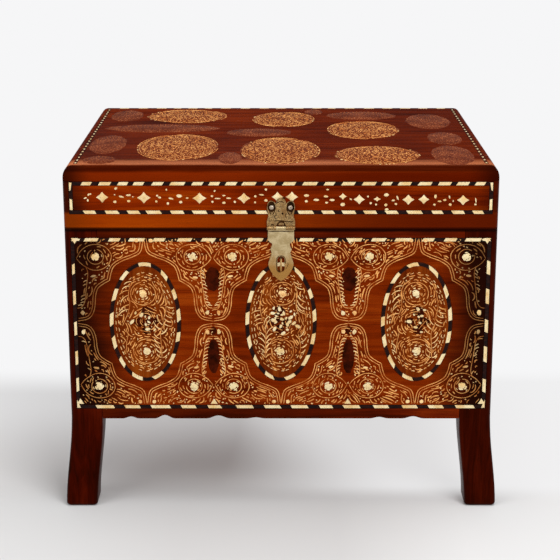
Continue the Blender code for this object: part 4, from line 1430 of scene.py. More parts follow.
    def cartouche_edge(self, reach: float, top: float) -> np.ndarray:
        """The right edge of an upper half, with its wing stretched to a reach and cut off at the top.

        Args:
            reach: how far the wing reaches from the middle line.
            top: where it is cut off.

        Returns:
            (K, 2) places from the wing's tip down to the middle line.
        """
        waist, tip = self.shoulder[0][0], self.outline[0][0]
        wing = np.array(self.outline)
        wing[:, 0] = waist + (wing[:, 0] - waist) * (reach - waist) / (tip - waist)
        wing[0, 1] = top
        return np.concatenate([flowing(wing, 34), flowing(self.shoulder, 44)[1:]])

    def comb(self, line: np.ndarray, heads: np.ndarray, side: int, up: int) -> None:
        """Lays short teeth along a line, outwards from it.

        Args:
            line: (K, 2) places along it.
            heads: (K, 2) directions along it.
            side: +1 on the right of the cartouche and -1 on the left.
            up: +1 in its upper half and -1 in the lower.
        """
        angle = np.arctan2(heads[:, 1], heads[:, 0]) + up * side * -0.95
        length = self.sheet.rng.uniform(3.0, 4.4, len(angle))
        away = np.stack([np.cos(angle), np.sin(angle)], 1)
        places = line + away * (length / 2 + 0.3)[:, None]
        teeth = arcs(places, angle, length, np.full(len(angle), 0.4 * side))
        self.sheet.dashes(teeth[::3], 1.3, Kind.PALE, 0.6, 0.5, crowded=True)


# ---------------------------------------------------------------- the lid


@dataclass
class LidFace:
    """The band round one side of the lid: a border, diamonds and small chips between them."""

    face: Face
    border: Span
    seed: int
    chips: Sequence[tuple[float, ...]]
    diamonds: Sequence[tuple[float, ...]]
    border_width: float = 3.0

    def draw(self) -> Sheet:
        """Draws the whole face and returns its sheet.

        Returns:
            The sheet.
        """
        low_u, low_v, high_u, high_v = self.border
        sheet = Sheet(self.face, max(-low_u, high_u), max(-low_v, high_v), self.seed)
        half, width = self.border_width / 2, self.border_width - TILE_PLAY
        sheet.run((low_u + 4, high_v - half), (high_u - 4, high_v - half), width, 9.6, 5.6, 1.8)
        sheet.run((low_u + 4, low_v + half), (high_u - 4, low_v + half), width, 10.4, 7.2, -1.8)
        lower = ((0.3, 3.2), (2.8, 3.0), (2.6, 12.4), (0.4, 13.2))
        upper = ((0.3, -8.0), (1.6, -7.0), (2.7, -0.4), (0.3, -0.3))
        for side, edge in ((1, low_u), (-1, high_u)):
            sheet.shape(mirrored(lower, side, (edge, low_v)))
            sheet.shape(mirrored(upper, side, (edge, high_v)))
        # A diamond's sides are hollow: every other corner is pulled in.
        size = np.where(np.arange(8) % 2, 0.42 * math.sqrt(2), 1.0)[:, None]
        diamond = ellipse((0, 0), 1, 1, 9)[:-1] * size
        for u, v, half_u, half_v in self.diamonds:
            sheet.shape(diamond * (half_u, half_v) + (u, v))
        for u, v, half_u, half_v, turn in self.chips:
            sheet.chip((u, v), half_u, half_v, math.radians(turn), Kind.BONE, 7, 0.14)
        return sheet


@dataclass
class LidTop:
    """The lid's top: ovals of dense curls in bright and dim rows, and a dotted border on three sides."""

    face: Face
    strip: Span
    strip_width: float
    seed: int
    # u and v of an oval's middle, half its width, half its length, and whether it is bright
    ovals: tuple[tuple[float, float, float, float, bool], ...] = (
        (-90.0, -58.0, 35.5, 55.0, True), (-1.0, -73.0, 34.5, 55.0, True), (82.0, -92.0, 36.5, 38.0, True),
        (-91.0, 89.0, 38.5, 34.0, True), (2.5, 74.0, 29.5, 38.0, True), (76.0, 20.0, 33.0, 42.0, True),
        (-152.0, -47.0, 16.0, 41.0, False), (-149.0, 91.0, 15.5, 30.0, False),
        (-110.0, 27.0, 53.0, 20.0, False), (-20.0, 7.0, 30.0, 19.0, False),
        (-43.0, -104.0, 10.0, 24.0, False), (78.0, 92.0, 34.0, 22.0, False),
        (140.0, 62.0, 21.0, 38.0, False), (147.0, -20.0, 15.5, 29.0, False),
        (146.0, -92.0, 18.0, 40.0, False), (-152.0, -112.0, 14.0, 16.0, False),
        (32.0, 112.0, 9.0, 14.0, False),
    )

    def draw(self) -> Sheet:
        """Draws the whole face and returns its sheet.

        Returns:
            The sheet.
        """
        low_u, low_v, high_u, high_v = self.strip
        sheet = Sheet(self.face, max(-low_u, high_u), max(-low_v, high_v), self.seed)
        half, width = self.strip_width / 2, self.strip_width - 0.3
        for v in np.arange(low_v + 3, high_v - 5, 11.2):
            for u in (low_u + half, high_u - half):
                sheet.chip((u, v + sheet.rng.uniform(-0.9, 0.9)), width / 2.3, 1.7, 0, Kind.BONE, 8, 0.12)
        sheet.run((low_u + 3, high_v - half), (high_u - 3, high_v - half), width, 9.2, 9.0, 1.0)
        for v in np.arange(low_v, high_v, 1.0):
            sheet.take(np.array([[low_u, v], [high_u, v]]), 5.0)
        for place in self.ovals:
            self.curls(sheet, place)
        return sheet

    def curls(self, sheet: Sheet, place: tuple[float, float, float, float, bool]) -> None:
        """Fills one oval with curls, and draws a few long strokes round a bright one.

        Args:
            sheet: the drawing of the lid's top.
            place: one of the ovals.
        """
        u, v, half_u, half_v, bright = place
        box = (u - half_u, v - half_v, u + half_u, v + half_v)
        area = half_u * half_v
        phase = sheet.rng.uniform(0, 6, 4)

        def eddies(places: np.ndarray) -> np.ndarray:
            """Slow eddies: the sum of two waves across each other."""
            waves = np.sin(places[:, 0] / 5.5 + phase[0]) + np.cos(places[:, 1] / 7.5 + phase[1])
            return waves * 1.25 + phase[2]

        def upright(places: np.ndarray) -> np.ndarray:
            """The same direction everywhere: towards the back."""
            return np.full(len(places), np.pi / 2)

        sheet.ground((u, v), half_u, half_v, Kind.GROUND if bright else Kind.MURK)
        if bright:
            self.rim(sheet, (u, v), half_u, half_v)
            inside = oval((u, v), half_u, half_v, 0.97)
            sheet.fill(inside, box, eddies, Kind.CURL, int(area * 2.6), 5.2, 1.3, 1.3, 0.5)
            sheet.fill(inside, box, eddies, Kind.CURL, int(area * 2.0), 2.2, 1.1, 1.0, 1.0)
        else:
            inside = oval((u, v), half_u, half_v, 0.98)
            sheet.fill(inside, box, upright, Kind.SHADE, int(area * 2.8), 4.6, 0.9, 1.15, 0.4)

    def rim(self, sheet: Sheet, centre: Place, half_u: float, half_v: float) -> None:
        """Draws long strokes and small beads along the edge of a bright oval.

        Args:
            sheet: the drawing of the lid's top.
            centre: the oval's middle.
            half_u: half its width.
            half_v: half its length.
        """
        rng = sheet.rng
        for share in (1.0, 0.93):
            start = rng.uniform(2.6, 3.6)
            for begin, turn in ((0.0, 1.3), (1.7, 1.0), (3.1, 1.4), (4.7, 1.2)):
                path = ellipse(centre, half_u * share, half_v * share, 22, start + begin, turn)
                if share < 1 or rng.random() < 0.7:
                    sheet.wire(path, 0.8, Kind.CURL, 0.8)
        for _ in range(14):
            turn = rng.uniform(-0.6, 3.9)
            bead = np.array([half_u * math.cos(turn), -half_v * math.sin(turn)]) * 0.98 + centre
            sheet.chip(bead, 0.9, 0.9, 0, Kind.PALE, 6, 0.2, 0.3)


# ---------------------------------------------------------------- carried-over pieces


def smooth_copy(node: str, material: bpy.types.Material, slot: str, body: str, crease: float) -> None:
    """Stands a smooth copy in for a node whose facets would show.

    Args:
        node: the node's name.
        material: the copy's material.
        slot: the slot that it takes its finish from; not used.
        body: the body that it moves with.
        crease: edges that turn by more than this many degrees stay sharp.
    """
    net = bmesh.new()
    net.from_mesh(bpy.data.objects[node].data)
    bmesh.ops.remove_doubles(net, verts=net.verts, dist=2e-6)
    bmesh.ops.dissolve_limit(net, angle_limit=math.radians(0.4), verts=net.verts, edges=net.edges)
    bmesh.ops.recalc_face_normals(net, faces=net.faces)
    mesh = bpy.data.meshes.new(f"{node}_shown")
    net.to_mesh(mesh)
    net.free()
    mesh.polygons.foreach_set("use_smooth", np.ones(len(mesh.polygons), bool))
    mesh.set_sharp_from_angle(angle=math.radians(crease))
    mesh.materials.append(material)
    made = bpy.data.objects.new(f"{node}_shown", mesh)
    bpy.context.scene.collection.objects.link(made)
    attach(made, body)
    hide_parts(node)
    log.info("%s stands for %s", made.name, node)


def nodes_from(start: str) -> tuple[str, ...]:
    """The frame's nodes whose names begin with a word."""
    return tuple(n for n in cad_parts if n.startswith(start))


def dress_node(node: str, material: bpy.types.Material) -> None:
    """Puts a material on a node that stays.

    Args:
        node: the node's name.
        material: the material.
    """
    for slot in bpy.data.objects[node].material_slots:
        slot.material = material
    log.info("%s dressed with %s", node, material.name)


def tones(dark: Sequence[int], middle: Sequence[int], light: Sequence[int]) -> dict[str, Colour]:
    """A wood's three tones, from screen colours of 0 to 255 a channel."""
    return {"dark": paint(*dark), "middle": paint(*middle), "light": paint(*light)}


@dataclass
class Carcass:
    """The wooden pieces that the frame brings, each with its wood and its grain along its board."""

    crease: float = 32.0

    def dress(self) -> None:
        """Gives every wooden node its material, with smooth copies of the posts and the lid's top."""
        for finish, nodes in (*self.case_woods(), *self.lid_woods()):
            material = finish.material()
            for node in nodes:
                dress_node(node, material)
        leg = tones((22, 2, 0), (55, 6, 0), (84, 18, 2))
        # Painted shade darkens the legs towards the right and round the seam.
        posts = Wood("leg_wood", Grain.Z, **leg, side_shade=0.4, seam_and_shade=True).material()
        for side in ("left", "right"):
            for end in ("front", "rear"):
                smooth_copy(f"post_{end}_{side}", posts, "leg_wood", "case", self.crease)
        board = tones((56, 10, 1), (94, 25, 1), (124, 42, 8))
        # Painted highlight and shade on the lid's front edge, and painted shade towards the right.
        top = Wood("top_wood", Grain.X, **board, matt=0.45, gloss=0.004, side_shade=0.2, lip_light_and_shade=True).material()
        smooth_copy("lid_top", top, "top_wood", "lid", self.crease)

    def case_woods(self) -> Iterator[tuple["Wood | Ebony", tuple[str, ...]]]:
        """The finishes of the case, each with its nodes.

        Yields:
            A finish and the names of its nodes.
        """
        case = tones((40, 6, 0), (88, 20, 2), (128, 42, 5))
        # Painted shade darkens the panels towards the left end and round the seam.
        yield Wood("case_wood_across", Grain.X, **case, side_shade=-0.55, seam_and_shade=True), ("panel_front", "panel_back")
        # Painted shade round the seam.
        yield Wood("case_wood_deep", Grain.Y, **case, offset=3.1, seam_and_shade=True), ("panel_left", "panel_right")
        veneer = tones((70, 14, 0), (116, 34, 1), (142, 54, 6))
        # Painted shade darkens the ends of the front's inlaid field.
        yield (Wood("field_wood_across", Grain.X, **veneer, end_shade=0.97, end_shade_from=0.124, end_shade_to=0.165),
               ("veneer_front",))
        # Painted shade darkens the front and back ends of the side fields.
        yield (Wood("field_wood_deep", Grain.Y, **veneer, offset=2.3, end_shade=0.9, end_shade_axis=1, end_shade_from=0.1,
                    end_shade_to=0.135), ("veneer_left", "veneer_right"))
        plaque = tones((70, 20, 1), (106, 37, 4), (140, 64, 12))
        yield Wood("plaque_wood", Grain.Z, **plaque, offset=5.0), nodes_from("medallion_")
        inner = tones((70, 34, 18), (122, 70, 40), (152, 98, 60))
        yield (Wood("inner_wood_across", Grain.X, **inner, matt=0.6),
               ("cleat_front", "cleat_back", "base_board"))
        yield Wood("inner_wood_deep", Grain.Y, **inner, matt=0.6), ("cleat_left", "cleat_right")
        yield Ebony("ebony_stringing"), (*nodes_from("border_"), *(f"lid_border_{s}" for s in SIDES))

    def lid_woods(self) -> Iterator[tuple[Wood, tuple[str, ...]]]:
        """The finishes of the lid's rails and the strip on its top, each with its nodes.

        Yields:
            A finish and the names of its nodes.
        """
        lid = tones((70, 10, 0), (128, 36, 0), (158, 62, 2))
        # Painted shade on the rails' ends, towards the right and round the seam, and painted light below the
        # band.
        yield (Wood("lid_wood_across", Grain.X, **lid, side_shade=0.25, end_shade=0.85, end_shade_from=0.153, end_shade_to=0.178,
                    lit_foot=0.5, seam_and_shade=True), ("lid_rail_front", "lid_rail_back"))
        # Painted shade towards the right and round the seam.
        yield (Wood("lid_wood_deep", Grain.Y, **lid, side_shade=0.25, offset=1.7, seam_and_shade=True),
               ("lid_rail_left", "lid_rail_right"))
        strip = tones((34, 6, 1), (62, 16, 4), (80, 26, 8))
        yield Wood("strip_wood", Grain.Y, **strip, gloss=0.01), ("lid_border_top",)


@dataclass
class Ironwork:
    """The hasp, its staple and nails, and the two hinges."""

    crease: float = 40.0
    slot: str = "aged_brass"
    # Heights between which the plate and the leaf are flat and widest, in metres.
    plate_flat: tuple[float, float] = (LID_FOOT + 0.0047, LID_FOOT + 0.0212)
    leaf_flat: tuple[float, float] = (LEAF_FOOT + 0.0149, LEAF_FOOT + 0.0375)
    # The dark marks of the plate: a width, and places from the middle of its flat part's foot.
    marks: tuple[tuple, ...] = (
        (1.5, (-5.8, 2.9), (-1.0, 3.1), (3.5, 2.6), (10.4, 2.1)),
        (2.0, (-2.9, -1.0), (-2.2, 1.2), (0.4, 2.2), (2.6, 1.2), (3.1, -1.2)),
        (1.7, (-8.6, -0.6), (-7.0, -0.2), (-5.6, -0.7)),
        (1.1, (-3.2, 18.2), (-0.4, 19.6), (2.4, 18.6)),
        (0.8, (-1.4, 10.6), (-2.2, 11.8), (-1.2, 12.8)),
        (1.0, (-2.6, -3.2), (0.6, -3.5), (3.0, -3.1)),
        (1.2, (1.4, 21.8), (2.6, 22.6), (3.4, 21.6)),
        (0.9, (-5.8, 6.0), (-4.0, 8.2), (-4.6, 10.4)),
        (0.8, (4.9, 5.2), (3.6, 7.6), (4.6, 9.6)),
    )
    # The drop-shaped groove round a nail, from the nail's middle.
    drop: tuple[Place, ...] = (
        (-0.6, -6.6), (-2.6, -3.0), (-2.9, 0.6), (-1.6, 3.8),
        (1.3, 3.8), (2.6, 0.6), (1.7, -3.0), (0.2, -6.0),
    )
    # The groove round the leaf's slot.
    slot_ring: tuple[Place, ...] = (
        (3.7, 0.0), (3.6, 4.2), (2.2, 6.6), (0.0, 7.2), (-2.2, 6.6), (-3.6, 4.2), (-3.7, 0.0),
        (-3.6, -4.2), (-2.2, -6.6), (0.0, -7.2),
    )

    def dress(self) -> None:
        """Gives every metal node its metal, with smooth copies where it is round."""
        plate, leaf, pale, hinge, iron = (finish.material() for finish in (
            Brass("hasp_plate_brass", paint(188, 152, 98), paint(142, 104, 58), paint(46, 27, 11), 0.75,
                  net=330.0),
            Brass("hasp_leaf_brass", paint(206, 184, 140), paint(178, 154, 108), paint(112, 84, 44), 0.25,
                  ochre=True),
            Brass("nail_brass", paint(205, 190, 170), paint(150, 128, 108), paint(60, 40, 26), 0.5),
            Brass("hinge_brass", paint(168, 138, 84), paint(128, 98, 54), paint(58, 38, 20), 0.5),
            Iron("screw_steel"),
        ))
        copies = (
            ("hasp_plate", plate, "lid"), ("hasp_leaf", leaf, "hasp"), ("hasp_pin", hinge, "lid"),
            ("hasp_nail_left", pale, "lid"), ("hasp_nail_right", pale, "lid"), ("staple", leaf, "case"),
        )
        for node, material, body in copies:
            smooth_copy(node, material, self.slot, body, self.crease)
        for node in nodes_from("hinge_"):
            dress_node(node, iron if "screw" in node else hinge)
        dressing = {
            Kind.DARK: Line("plate_dirt", paint(56, 32, 14), paint(22, 12, 6)).material(),
            Kind.SHADE: Line("plate_cracks", paint(104, 76, 42), paint(58, 38, 18)).material(),
        }
        for sheet in (self.engraved_plate(), self.engraved_leaf()):
            sheet.pieces(dict.fromkeys(dressing, self.slot), dressing)

    def flat(self, node: str, body: str, heights: tuple[float, float]) -> Face:
        """The front of a flat piece.

        Args:
            node: the piece.
            body: the body that it moves with.
            heights: the lowest and highest place of its flat part.

        Returns:
            The face, with its origin in the middle of the flat part's foot.
        """
        low, high = heights
        front = min(v.co.y for v in bpy.data.objects[node].data.vertices if low < v.co.z < high)
        return Face(node, body, np.array([0.0, front, low]), np.array([1.0, 0, 0]), np.array([0, 0, 1.0]))

    def engraved_plate(self) -> Sheet:
        """The marks of the plate: dark grooves round its nails, lines, a hole and a net of fine cracks.

        Returns:
            The sheet.
        """
        sheet = Sheet(self.flat("hasp_plate", "lid", self.plate_flat), 11.2, 26.0, 71)
        for side, node in ((-1, "hasp_nail_left"), (1, "hasp_nail_right")):
            low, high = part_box(node)
            nail = np.array([(low[0] + high[0]) / 2, (low[2] + high[2]) / 2 - self.plate_flat[0]]) / MM
            sheet.ground(nail + (side * 0.1, 0.6), 3.3, 4.6, Kind.DARK)
            sheet.wire(flowing(np.array(self.drop) * (side, 1) + nail, 40), 1.2, Kind.DARK)
        for width, *mark in self.marks:
            sheet.wire(flowing(mark, 14), width, Kind.DARK)
        sheet.chip((1.3, 9.2), 1.0, 1.0, 0, Kind.DARK)

        def between(places: np.ndarray) -> np.ndarray:
            """True between the plate's edges."""
            return np.abs(places[..., 0]) < 10.8

        def wander(places: np.ndarray) -> np.ndarray:
            """Two turns of a wave across the plate, turned further with the height."""
            return np.sin(places[:, 0] * 1.7) * 2.0 + places[:, 1]

        sheet.fill(between, (-10.5, -2.0, 10.5, 15.0), wander, Kind.SHADE, 420, 2.6, 0.42, 0.9, 1.0)
        return sheet

    def engraved_leaf(self) -> Sheet:
        """The marks of the leaf: the line under its hinge, the groove round its slot and a scratch.

        Returns:
            The sheet.
        """
        sheet = Sheet(self.flat("hasp_leaf", "hasp", self.leaf_flat), 11.4, 29.0, 72)
        sheet.wire(flowing([(-10.9, 28.0), (0.0, 28.2), (10.9, 27.8)], 16), 1.1, Kind.DARK)
        sheet.wire(flowing(self.slot_ring, 34), 0.9, Kind.DARK)
        scratch = [(3.9, -4.4), (4.9, -3.0), (5.5, -1.2), (6.1, 0.3), (5.0, 1.1)]
        sheet.wire(flowing(scratch, 14), 0.7, Kind.DARK)
        return sheet


# ---------------------------------------------------------------- studio


@dataclass
class Studio:
    """The floor, the light and the camera."""

    lens: float = 92.9  # millimetres, on a sensor of the width below
    sensor: float = 36.0
    place: tuple[float, float, float] = (-0.0008, -1.295, 0.555)
    pitch: float = 14.7  # degrees down from level
    shift: float = -0.1
    white: Colour = paint(246, 246, 247)

    def build(self) -> None:
        """Makes the floor, the lights, the world and the camera."""
        self.floor()
        self.lights()
        self.camera()

    def floor(self) -> None:
        """A wide pale floor that turns into the white behind it just past the box.

        The paper's grey is painted shade: greyest in the middle, lighter to the left and most to the right. A
        glow as white as the background covers it in four places: to the right of the box and from its front
        to its back, where it is painted light on the floor beside and under the box, and past its back and
        far away on all sides.
        """
        mesh = bpy.data.meshes.new("floor")
        mesh.from_pydata([(-6, -6, 0), (6, -6, 0), (6, 6, 0), (-6, 6, 0)], [], [(0, 1, 2, 3)])
        made = bpy.data.objects.new("floor", mesh)
        bpy.context.scene.collection.objects.link(made)
        graph = Graph("floor_paper")
        across, depth = graph.axis(0), graph.axis(1)
        # Painted shade: the floor is greyest in the middle and lightest to the right.
        greys = ((0.05, 226), (0.3, 216), (0.62, 215), (0.85, 234))
        colour = graph.ramp(across.step(-0.3, 0.3), *((place, paint(*[grey] * 3)) for place, grey in greys))
        graph.finish(colour, 0.9, None, 0.0, Specular_IOR_Level=0.1)
        glow = graph.node("ShaderNodeEmission", None, {"Color": self.white, "Strength": 1.0})
        # Painted light: the glow lightens the floor to the right of the box and under it.
        lit = (across + depth * 0.5).step(-0.13, 0.07, 0.0, 0.74) * depth.step(-0.142, -0.1)
        under = depth.step(-0.13, 0.1, 0.0, 0.5)
        past = depth.step(0.11, 0.2, 0.48, 1.0) * depth.step(0.105, 0.12)
        away = (across * across + depth * depth).step(0.16, 0.8)
        for other in (under, past, away):
            lit = lit.sum_of("MAXIMUM", lit, other)
        inputs = {0: lit, 1: graph.shader.outputs[0], 2: glow.outputs[0]}
        both = graph.node("ShaderNodeMixShader", None, inputs)
        graph.plug(graph.output, {"Surface": both.outputs[0]})
        mesh.materials.append(graph.material)

    def lights(self) -> None:
        """Soft boxes above, at the right and at the left, and a white world that lights little."""
        for name, place, aim, size, power in (
            ("key", (0.9, -1.5, 1.5), (0.0, 0.0, 0.15), 1.2, 24.0),
            ("fill", (-1.4, -1.1, 0.9), (0.0, 0.0, 0.15), 1.2, 9.0),
            ("over", (0.1, -0.15, 1.5), (0.0, -0.05, 0.2), 1.0, 10.0),
        ):
            light = bpy.data.lights.new(name, "AREA")
            light.energy, light.size = power, size
            made = bpy.data.objects.new(name, light)
            made.location = place
            toward = np.subtract(aim, place)
            yaw = math.atan2(toward[1], toward[0]) - math.pi / 2
            made.rotation_euler = (math.acos(-toward[2] / np.linalg.norm(toward)), 0, yaw)
            bpy.context.scene.collection.objects.link(made)
        world = bpy.data.worlds.new("studio")
        bpy.context.scene.world = world
        world.use_nodes = True
        tree = world.node_tree
        tree.nodes.clear()
        seen = tree.nodes.new("ShaderNodeLightPath").outputs["Is Camera Ray"]
        shown, cast = (tree.nodes.new("ShaderNodeBackground") for _ in range(2))
        shown.inputs[0].default_value = self.white
        cast.inputs[0].default_value = (1, 1, 1, 1)
        cast.inputs[1].default_value = 0.3
        mix, out = tree.nodes.new("ShaderNodeMixShader"), tree.nodes.new("ShaderNodeOutputWorld")
        tree.links.new(seen, mix.inputs[0])
        tree.links.new(cast.outputs[0], mix.inputs[1])
        tree.links.new(shown.outputs[0], mix.inputs[2])
        tree.links.new(mix.outputs[0], out.inputs[0])
        bpy.context.scene.view_settings.view_transform = "Standard"

    def camera(self) -> None:
        """A long lens, a little above the lid and in front, tilted down."""
        data = bpy.data.cameras.new("camera")
        data.lens, data.sensor_width, data.shift_y = self.lens, self.sensor, self.shift
        made = bpy.data.objects.new("camera", data)
        made.location = self.place
        made.rotation_euler = (math.radians(90 - self.pitch), 0, 0)
        bpy.context.scene.collection.objects.link(made)
        bpy.context.scene.camera = made


# ---------------------------------------------------------------- the whole box


# u, v, half length and half height of each diamond
FRONT_DIAMONDS = (
    (-147.3, 0.6, 5.4, 4.9), (-113.0, 0.2, 5.9, 5.1), (-67.2, -0.2, 6.1, 5.0), (-30.6, -0.2, 5.7, 4.8),
    (-2.9, 0.9, 5.0, 4.6), (9.0, 0.9, 5.4, 4.8), (51.0, 1.3, 3.4, 2.9), (64.5, -1.2, 5.0, 4.4),
    (79.3, -0.9, 3.3, 2.1), (105.0, -1.4, 5.3, 4.6), (117.7, -1.2, 4.8, 4.2), (150.1, -1.8, 5.3, 4.6),
)
# u, v, half length, half height and turn in degrees of each small chip
FRONT_CHIPS = (
    (-161.2, 0.0, 1.5, 0.7, 20), (-158.6, 2.8, 1.1, 0.8, 60), (-157.0, 3.4, 0.9, 0.7, 0),
    (-159.2, -2.0, 0.7, 1.3, 0), (-135.9, 8.0, 1.5, 1.2, 30), (-137.0, 2.8, 0.6, 0.6, 0),
    (-137.0, -3.2, 1.5, 1.2, 0), (-131.5, 1.1, 2.4, 0.8, -15), (-125.6, 2.4, 2.2, 0.9, 0),
    (-122.0, 1.0, 0.7, 0.6, 0), (-125.6, -2.6, 1.6, 1.2, 0), (-102.0, 2.0, 1.1, 0.9, 0),
    (-100.0, 0.5, 1.5, 0.9, -20), (-102.8, -2.9, 1.1, 1.1, 0), (-94.3, 7.0, 0.7, 1.0, 30),
    (-90.8, -0.4, 2.5, 0.8, -12), (-83.9, 1.6, 2.4, 1.5, 0), (-93.3, -4.6, 1.2, 1.2, 0),
    (-82.7, -3.5, 1.7, 1.2, 10), (-77.3, 0.0, 1.4, 0.7, 0), (-56.9, 1.6, 1.1, 1.0, 0),
    (-54.6, 6.0, 0.6, 1.1, -30), (-52.3, -0.4, 2.7, 0.6, 0), (-47.0, 2.1, 1.5, 0.7, 0),
    (-56.5, -3.2, 1.1, 1.0, 0), (-47.0, -4.0, 1.7, 1.1, 0), (-42.9, -0.2, 2.3, 0.7, 0),
    (-38.0, -3.3, 1.1, 1.0, 0), (-21.2, 1.4, 1.1, 1.0, 0), (-16.1, 2.7, 2.2, 0.7, -5),
    (-12.4, 7.2, 1.1, 1.2, 20), (-12.4, -2.0, 1.5, 1.3, 0), (-21.4, -3.6, 1.0, 0.9, 0),
    (21.0, 2.1, 2.1, 1.1, 0), (20.9, -2.8, 1.3, 1.2, 0), (29.2, -1.6, 2.7, 1.0, -4),
    (37.0, 1.3, 2.1, 1.0, -6), (38.3, 7.2, 1.2, 0.8, 0), (37.7, -3.9, 1.5, 0.9, 0),
    (42.1, -1.7, 2.3, 1.0, -4), (50.9, -5.5, 2.0, 1.6, 0), (57.5, -1.0, 1.2, 0.7, -20),
    (71.7, 1.2, 0.8, 0.9, 0), (73.9, -4.3, 1.1, 1.1, 0), (78.4, -5.5, 0.9, 0.9, 0),
    (86.8, 2.6, 2.2, 1.6, 0), (86.5, -5.9, 1.5, 1.3, 0), (87.2, -9.6, 1.7, 1.0, 0),
    (92.5, -2.0, 1.6, 0.8, 10), (96.0, 0.2, 0.7, 2.2, 25), (94.8, -5.0, 1.3, 0.9, -10),
    (127.2, 1.3, 1.2, 1.9, -10), (126.6, -5.6, 1.2, 1.0, 0), (130.7, -2.8, 1.7, 0.8, 0),
    (135.0, -1.7, 1.5, 1.0, 0), (138.8, 0.9, 0.7, 1.5, 10), (139.6, -5.5, 1.3, 1.4, 0),
    (142.0, -2.6, 0.7, 0.7, 0), (160.6, -2.0, 0.6, 2.4, 8), (160.4, -5.4, 1.0, 0.9, 0),
)


# Where the chips of a spray stand from its middle, with their half lengths and half heights.
SPRAY = (
    (-5.2, 3.0, 1.2, 1.0), (-4.0, -3.2, 1.2, 1.1), (0.0, 0.0, 2.5, 0.8), (4.6, 3.4, 1.9, 1.0),
    (5.2, -3.4, 1.5, 1.2), (8.6, 0.2, 1.3, 0.7), (0.6, 6.6, 0.9, 0.9),
)
Rows = Sequence[tuple[float, ...]]


def side_band(half: float, seed: int, pitch: float = 36.0) -> tuple[Rows, Rows]:
    """Diamonds and chips for a side of the lid: a row of diamonds with a spray of chips between two.

    Args:
        half: half the length of the band.
        seed: the seed of the random numbers.
        pitch: how far one diamond is from the next.

    Returns:
        The diamonds and the chips, as on the front.
    """
    rng = np.random.default_rng(seed)
    spots = np.arange(-half + 20, half - 10, pitch)
    spots = spots + rng.uniform(-3, 3, len(spots))
    diamonds = [(u, rng.uniform(-0.8, 0.8), rng.uniform(4.9, 5.9), rng.uniform(4.4, 5.0)) for u in spots]
    small = []
    for u in spots[:-1] + pitch / 2:
        for du, v, half_u, half_v in SPRAY:
            shake = rng.normal(0, 0.4, 2)
            small.append((u + du + shake[0], v + shake[1], half_u, half_v, float(rng.uniform(-20, 20))))
    return diamonds, small


def span_of(node: str, face: Face) -> Span:
    """A node's lowest and highest u and v on a face, in millimetres.

    Args:
        node: the node's name.
        face: the face.

    Returns:
        Lowest u, lowest v, highest u and highest v.
    """
    corners = np.array(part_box(node), float) - face.origin
    u, v = corners @ face.right / MM, corners @ face.up / MM
    return float(u.min()), float(v.min()), float(u.max()), float(v.max())


def side_face(body: str, side: str, node: str, level: str) -> Face:
    """One side of the case or the lid.

    Args:
        body: case or lid.
        side: front, left or right.
        node: a node that is flush with the side.
        level: the node that the face's origin is half way up.

    Returns:
        The face, with its origin half way along the node.
    """
    low, high = (np.array(corner, float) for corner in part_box(node))
    x, y = (low[:2] + high[:2]) / 2
    places = {"front": (x, low[1]), "left": (low[0], y), "right": (high[0], y)}
    rights = {"front": (1.0, 0.0, 0.0), "left": (0.0, -1.0, 0.0), "right": (0.0, 1.0, 0.0)}
    foot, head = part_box(level)
    origin = np.array([*places[side], (foot[2] + head[2]) / 2])
    return Face(f"{body}_{side}", body, origin, np.array(rights[side]), np.array([0.0, 0.0, 1.0]))


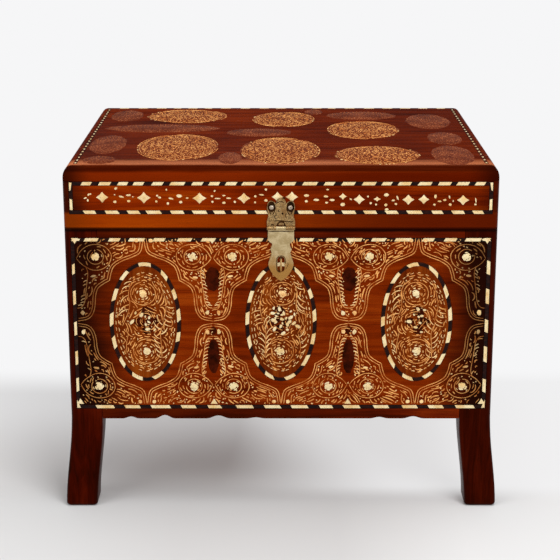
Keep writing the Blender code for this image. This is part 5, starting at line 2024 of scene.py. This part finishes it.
@dataclass
class Inlay:
    """All the inlay of the case and the lid."""

    strip_width: float = 2.5
    slots: dict[Kind, str] = field(default_factory=lambda: {
        **dict.fromkeys((Kind.WIRE, Kind.PALE, Kind.BONE, Kind.EBONY, Kind.CURL), "bone_stringing"),
        **dict.fromkeys((Kind.GROUND, Kind.SHADE, Kind.MURK), "top_wood"),
        Kind.DARK: "field_wood",
    })

    def build(self) -> None:
        """Draws every inlaid face and makes its pieces."""
        dressing = {
            # The front's lines darken in painted shade towards its upper corners.
            Kind.WIRE: Line("line_wire", paint(240, 173, 99), paint(184, 105, 45), corner_shade=0.75),
            Kind.PALE: Line("line_pale", paint(250, 214, 152), paint(216, 150, 80), corner_shade=0.7),
            Kind.BONE: Bone("bone", paint(240, 220, 172), paint(224, 184, 116), paint(150, 96, 48)),
            Kind.EBONY: Ebony("ebony"),
            Kind.CURL: Line("line_curl", paint(252, 184, 109), paint(212, 120, 56), 60.0),
            Kind.GROUND: Line("oval_ground", paint(128, 58, 22), paint(96, 36, 8), 60.0),
            Kind.SHADE: Line("line_shade", paint(178, 108, 70), paint(126, 60, 34), 60.0),
            Kind.MURK: Line("dim_oval_ground", paint(118, 52, 26), paint(84, 28, 10), 60.0),
            Kind.DARK: Line("dark_inset", paint(70, 18, 4), paint(34, 7, 2)),
        }
        made = {kind: finish.material() for kind, finish in dressing.items()}
        for sheet in (*self.case_faces(), *self.lid_faces(), self.top_face()):
            sheet.pieces(self.slots, made)

    def case_faces(self) -> Iterator[Sheet]:
        """The three inlaid faces of the case.

        Yields:
            Each face's sheet.
        """
        for number, side in enumerate(SIDES):
            border = f"border_{side}"
            face = side_face("case", side, border, "medallion_front_centre")
            spans = sorted(span_of(node, face) for node in nodes_from(f"medallion_{side}"))
            ovals = [((a + c) / 2, (b + d) / 2, (c - a) / 2, (d - b) / 2) for a, b, c, d in spans]
            yield CaseFace(face, span_of(border, face), ovals, 11 + number).draw()

    def lid_faces(self) -> Iterator[Sheet]:
        """The three inlaid faces of the lid's rim.

        Yields:
            Each face's sheet.
        """
        for number, side in enumerate(SIDES):
            border = f"lid_border_{side}"
            face = side_face("lid", side, border, "lid_border_front")
            span = span_of(border, face)
            diamonds, small = FRONT_DIAMONDS, FRONT_CHIPS
            if side != "front":
                diamonds, small = side_band(span[2], 40 + number)
            yield LidFace(face, span, 31 + number, small, diamonds).draw()

    def top_face(self) -> Sheet:
        """The top of the lid.

        Returns:
            Its sheet.
        """
        strip = "lid_border_top"
        origin = np.array([0.0, 0.0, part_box(strip)[1][2]])
        face = Face("lid_top", "lid", origin, np.array([1.0, 0, 0]), np.array([0, 1.0, 0]))
        return LidTop(face, span_of(strip, face), self.strip_width, 61).draw()


def main() -> None:
    """Builds the studio, dresses the frame and lays the inlay."""
    logging.basicConfig(level=logging.INFO, format="%(message)s")
    Studio().build()
    Carcass().dress()
    Ironwork().dress()
    Inlay().build()


if __name__ == "__main__":
    main()
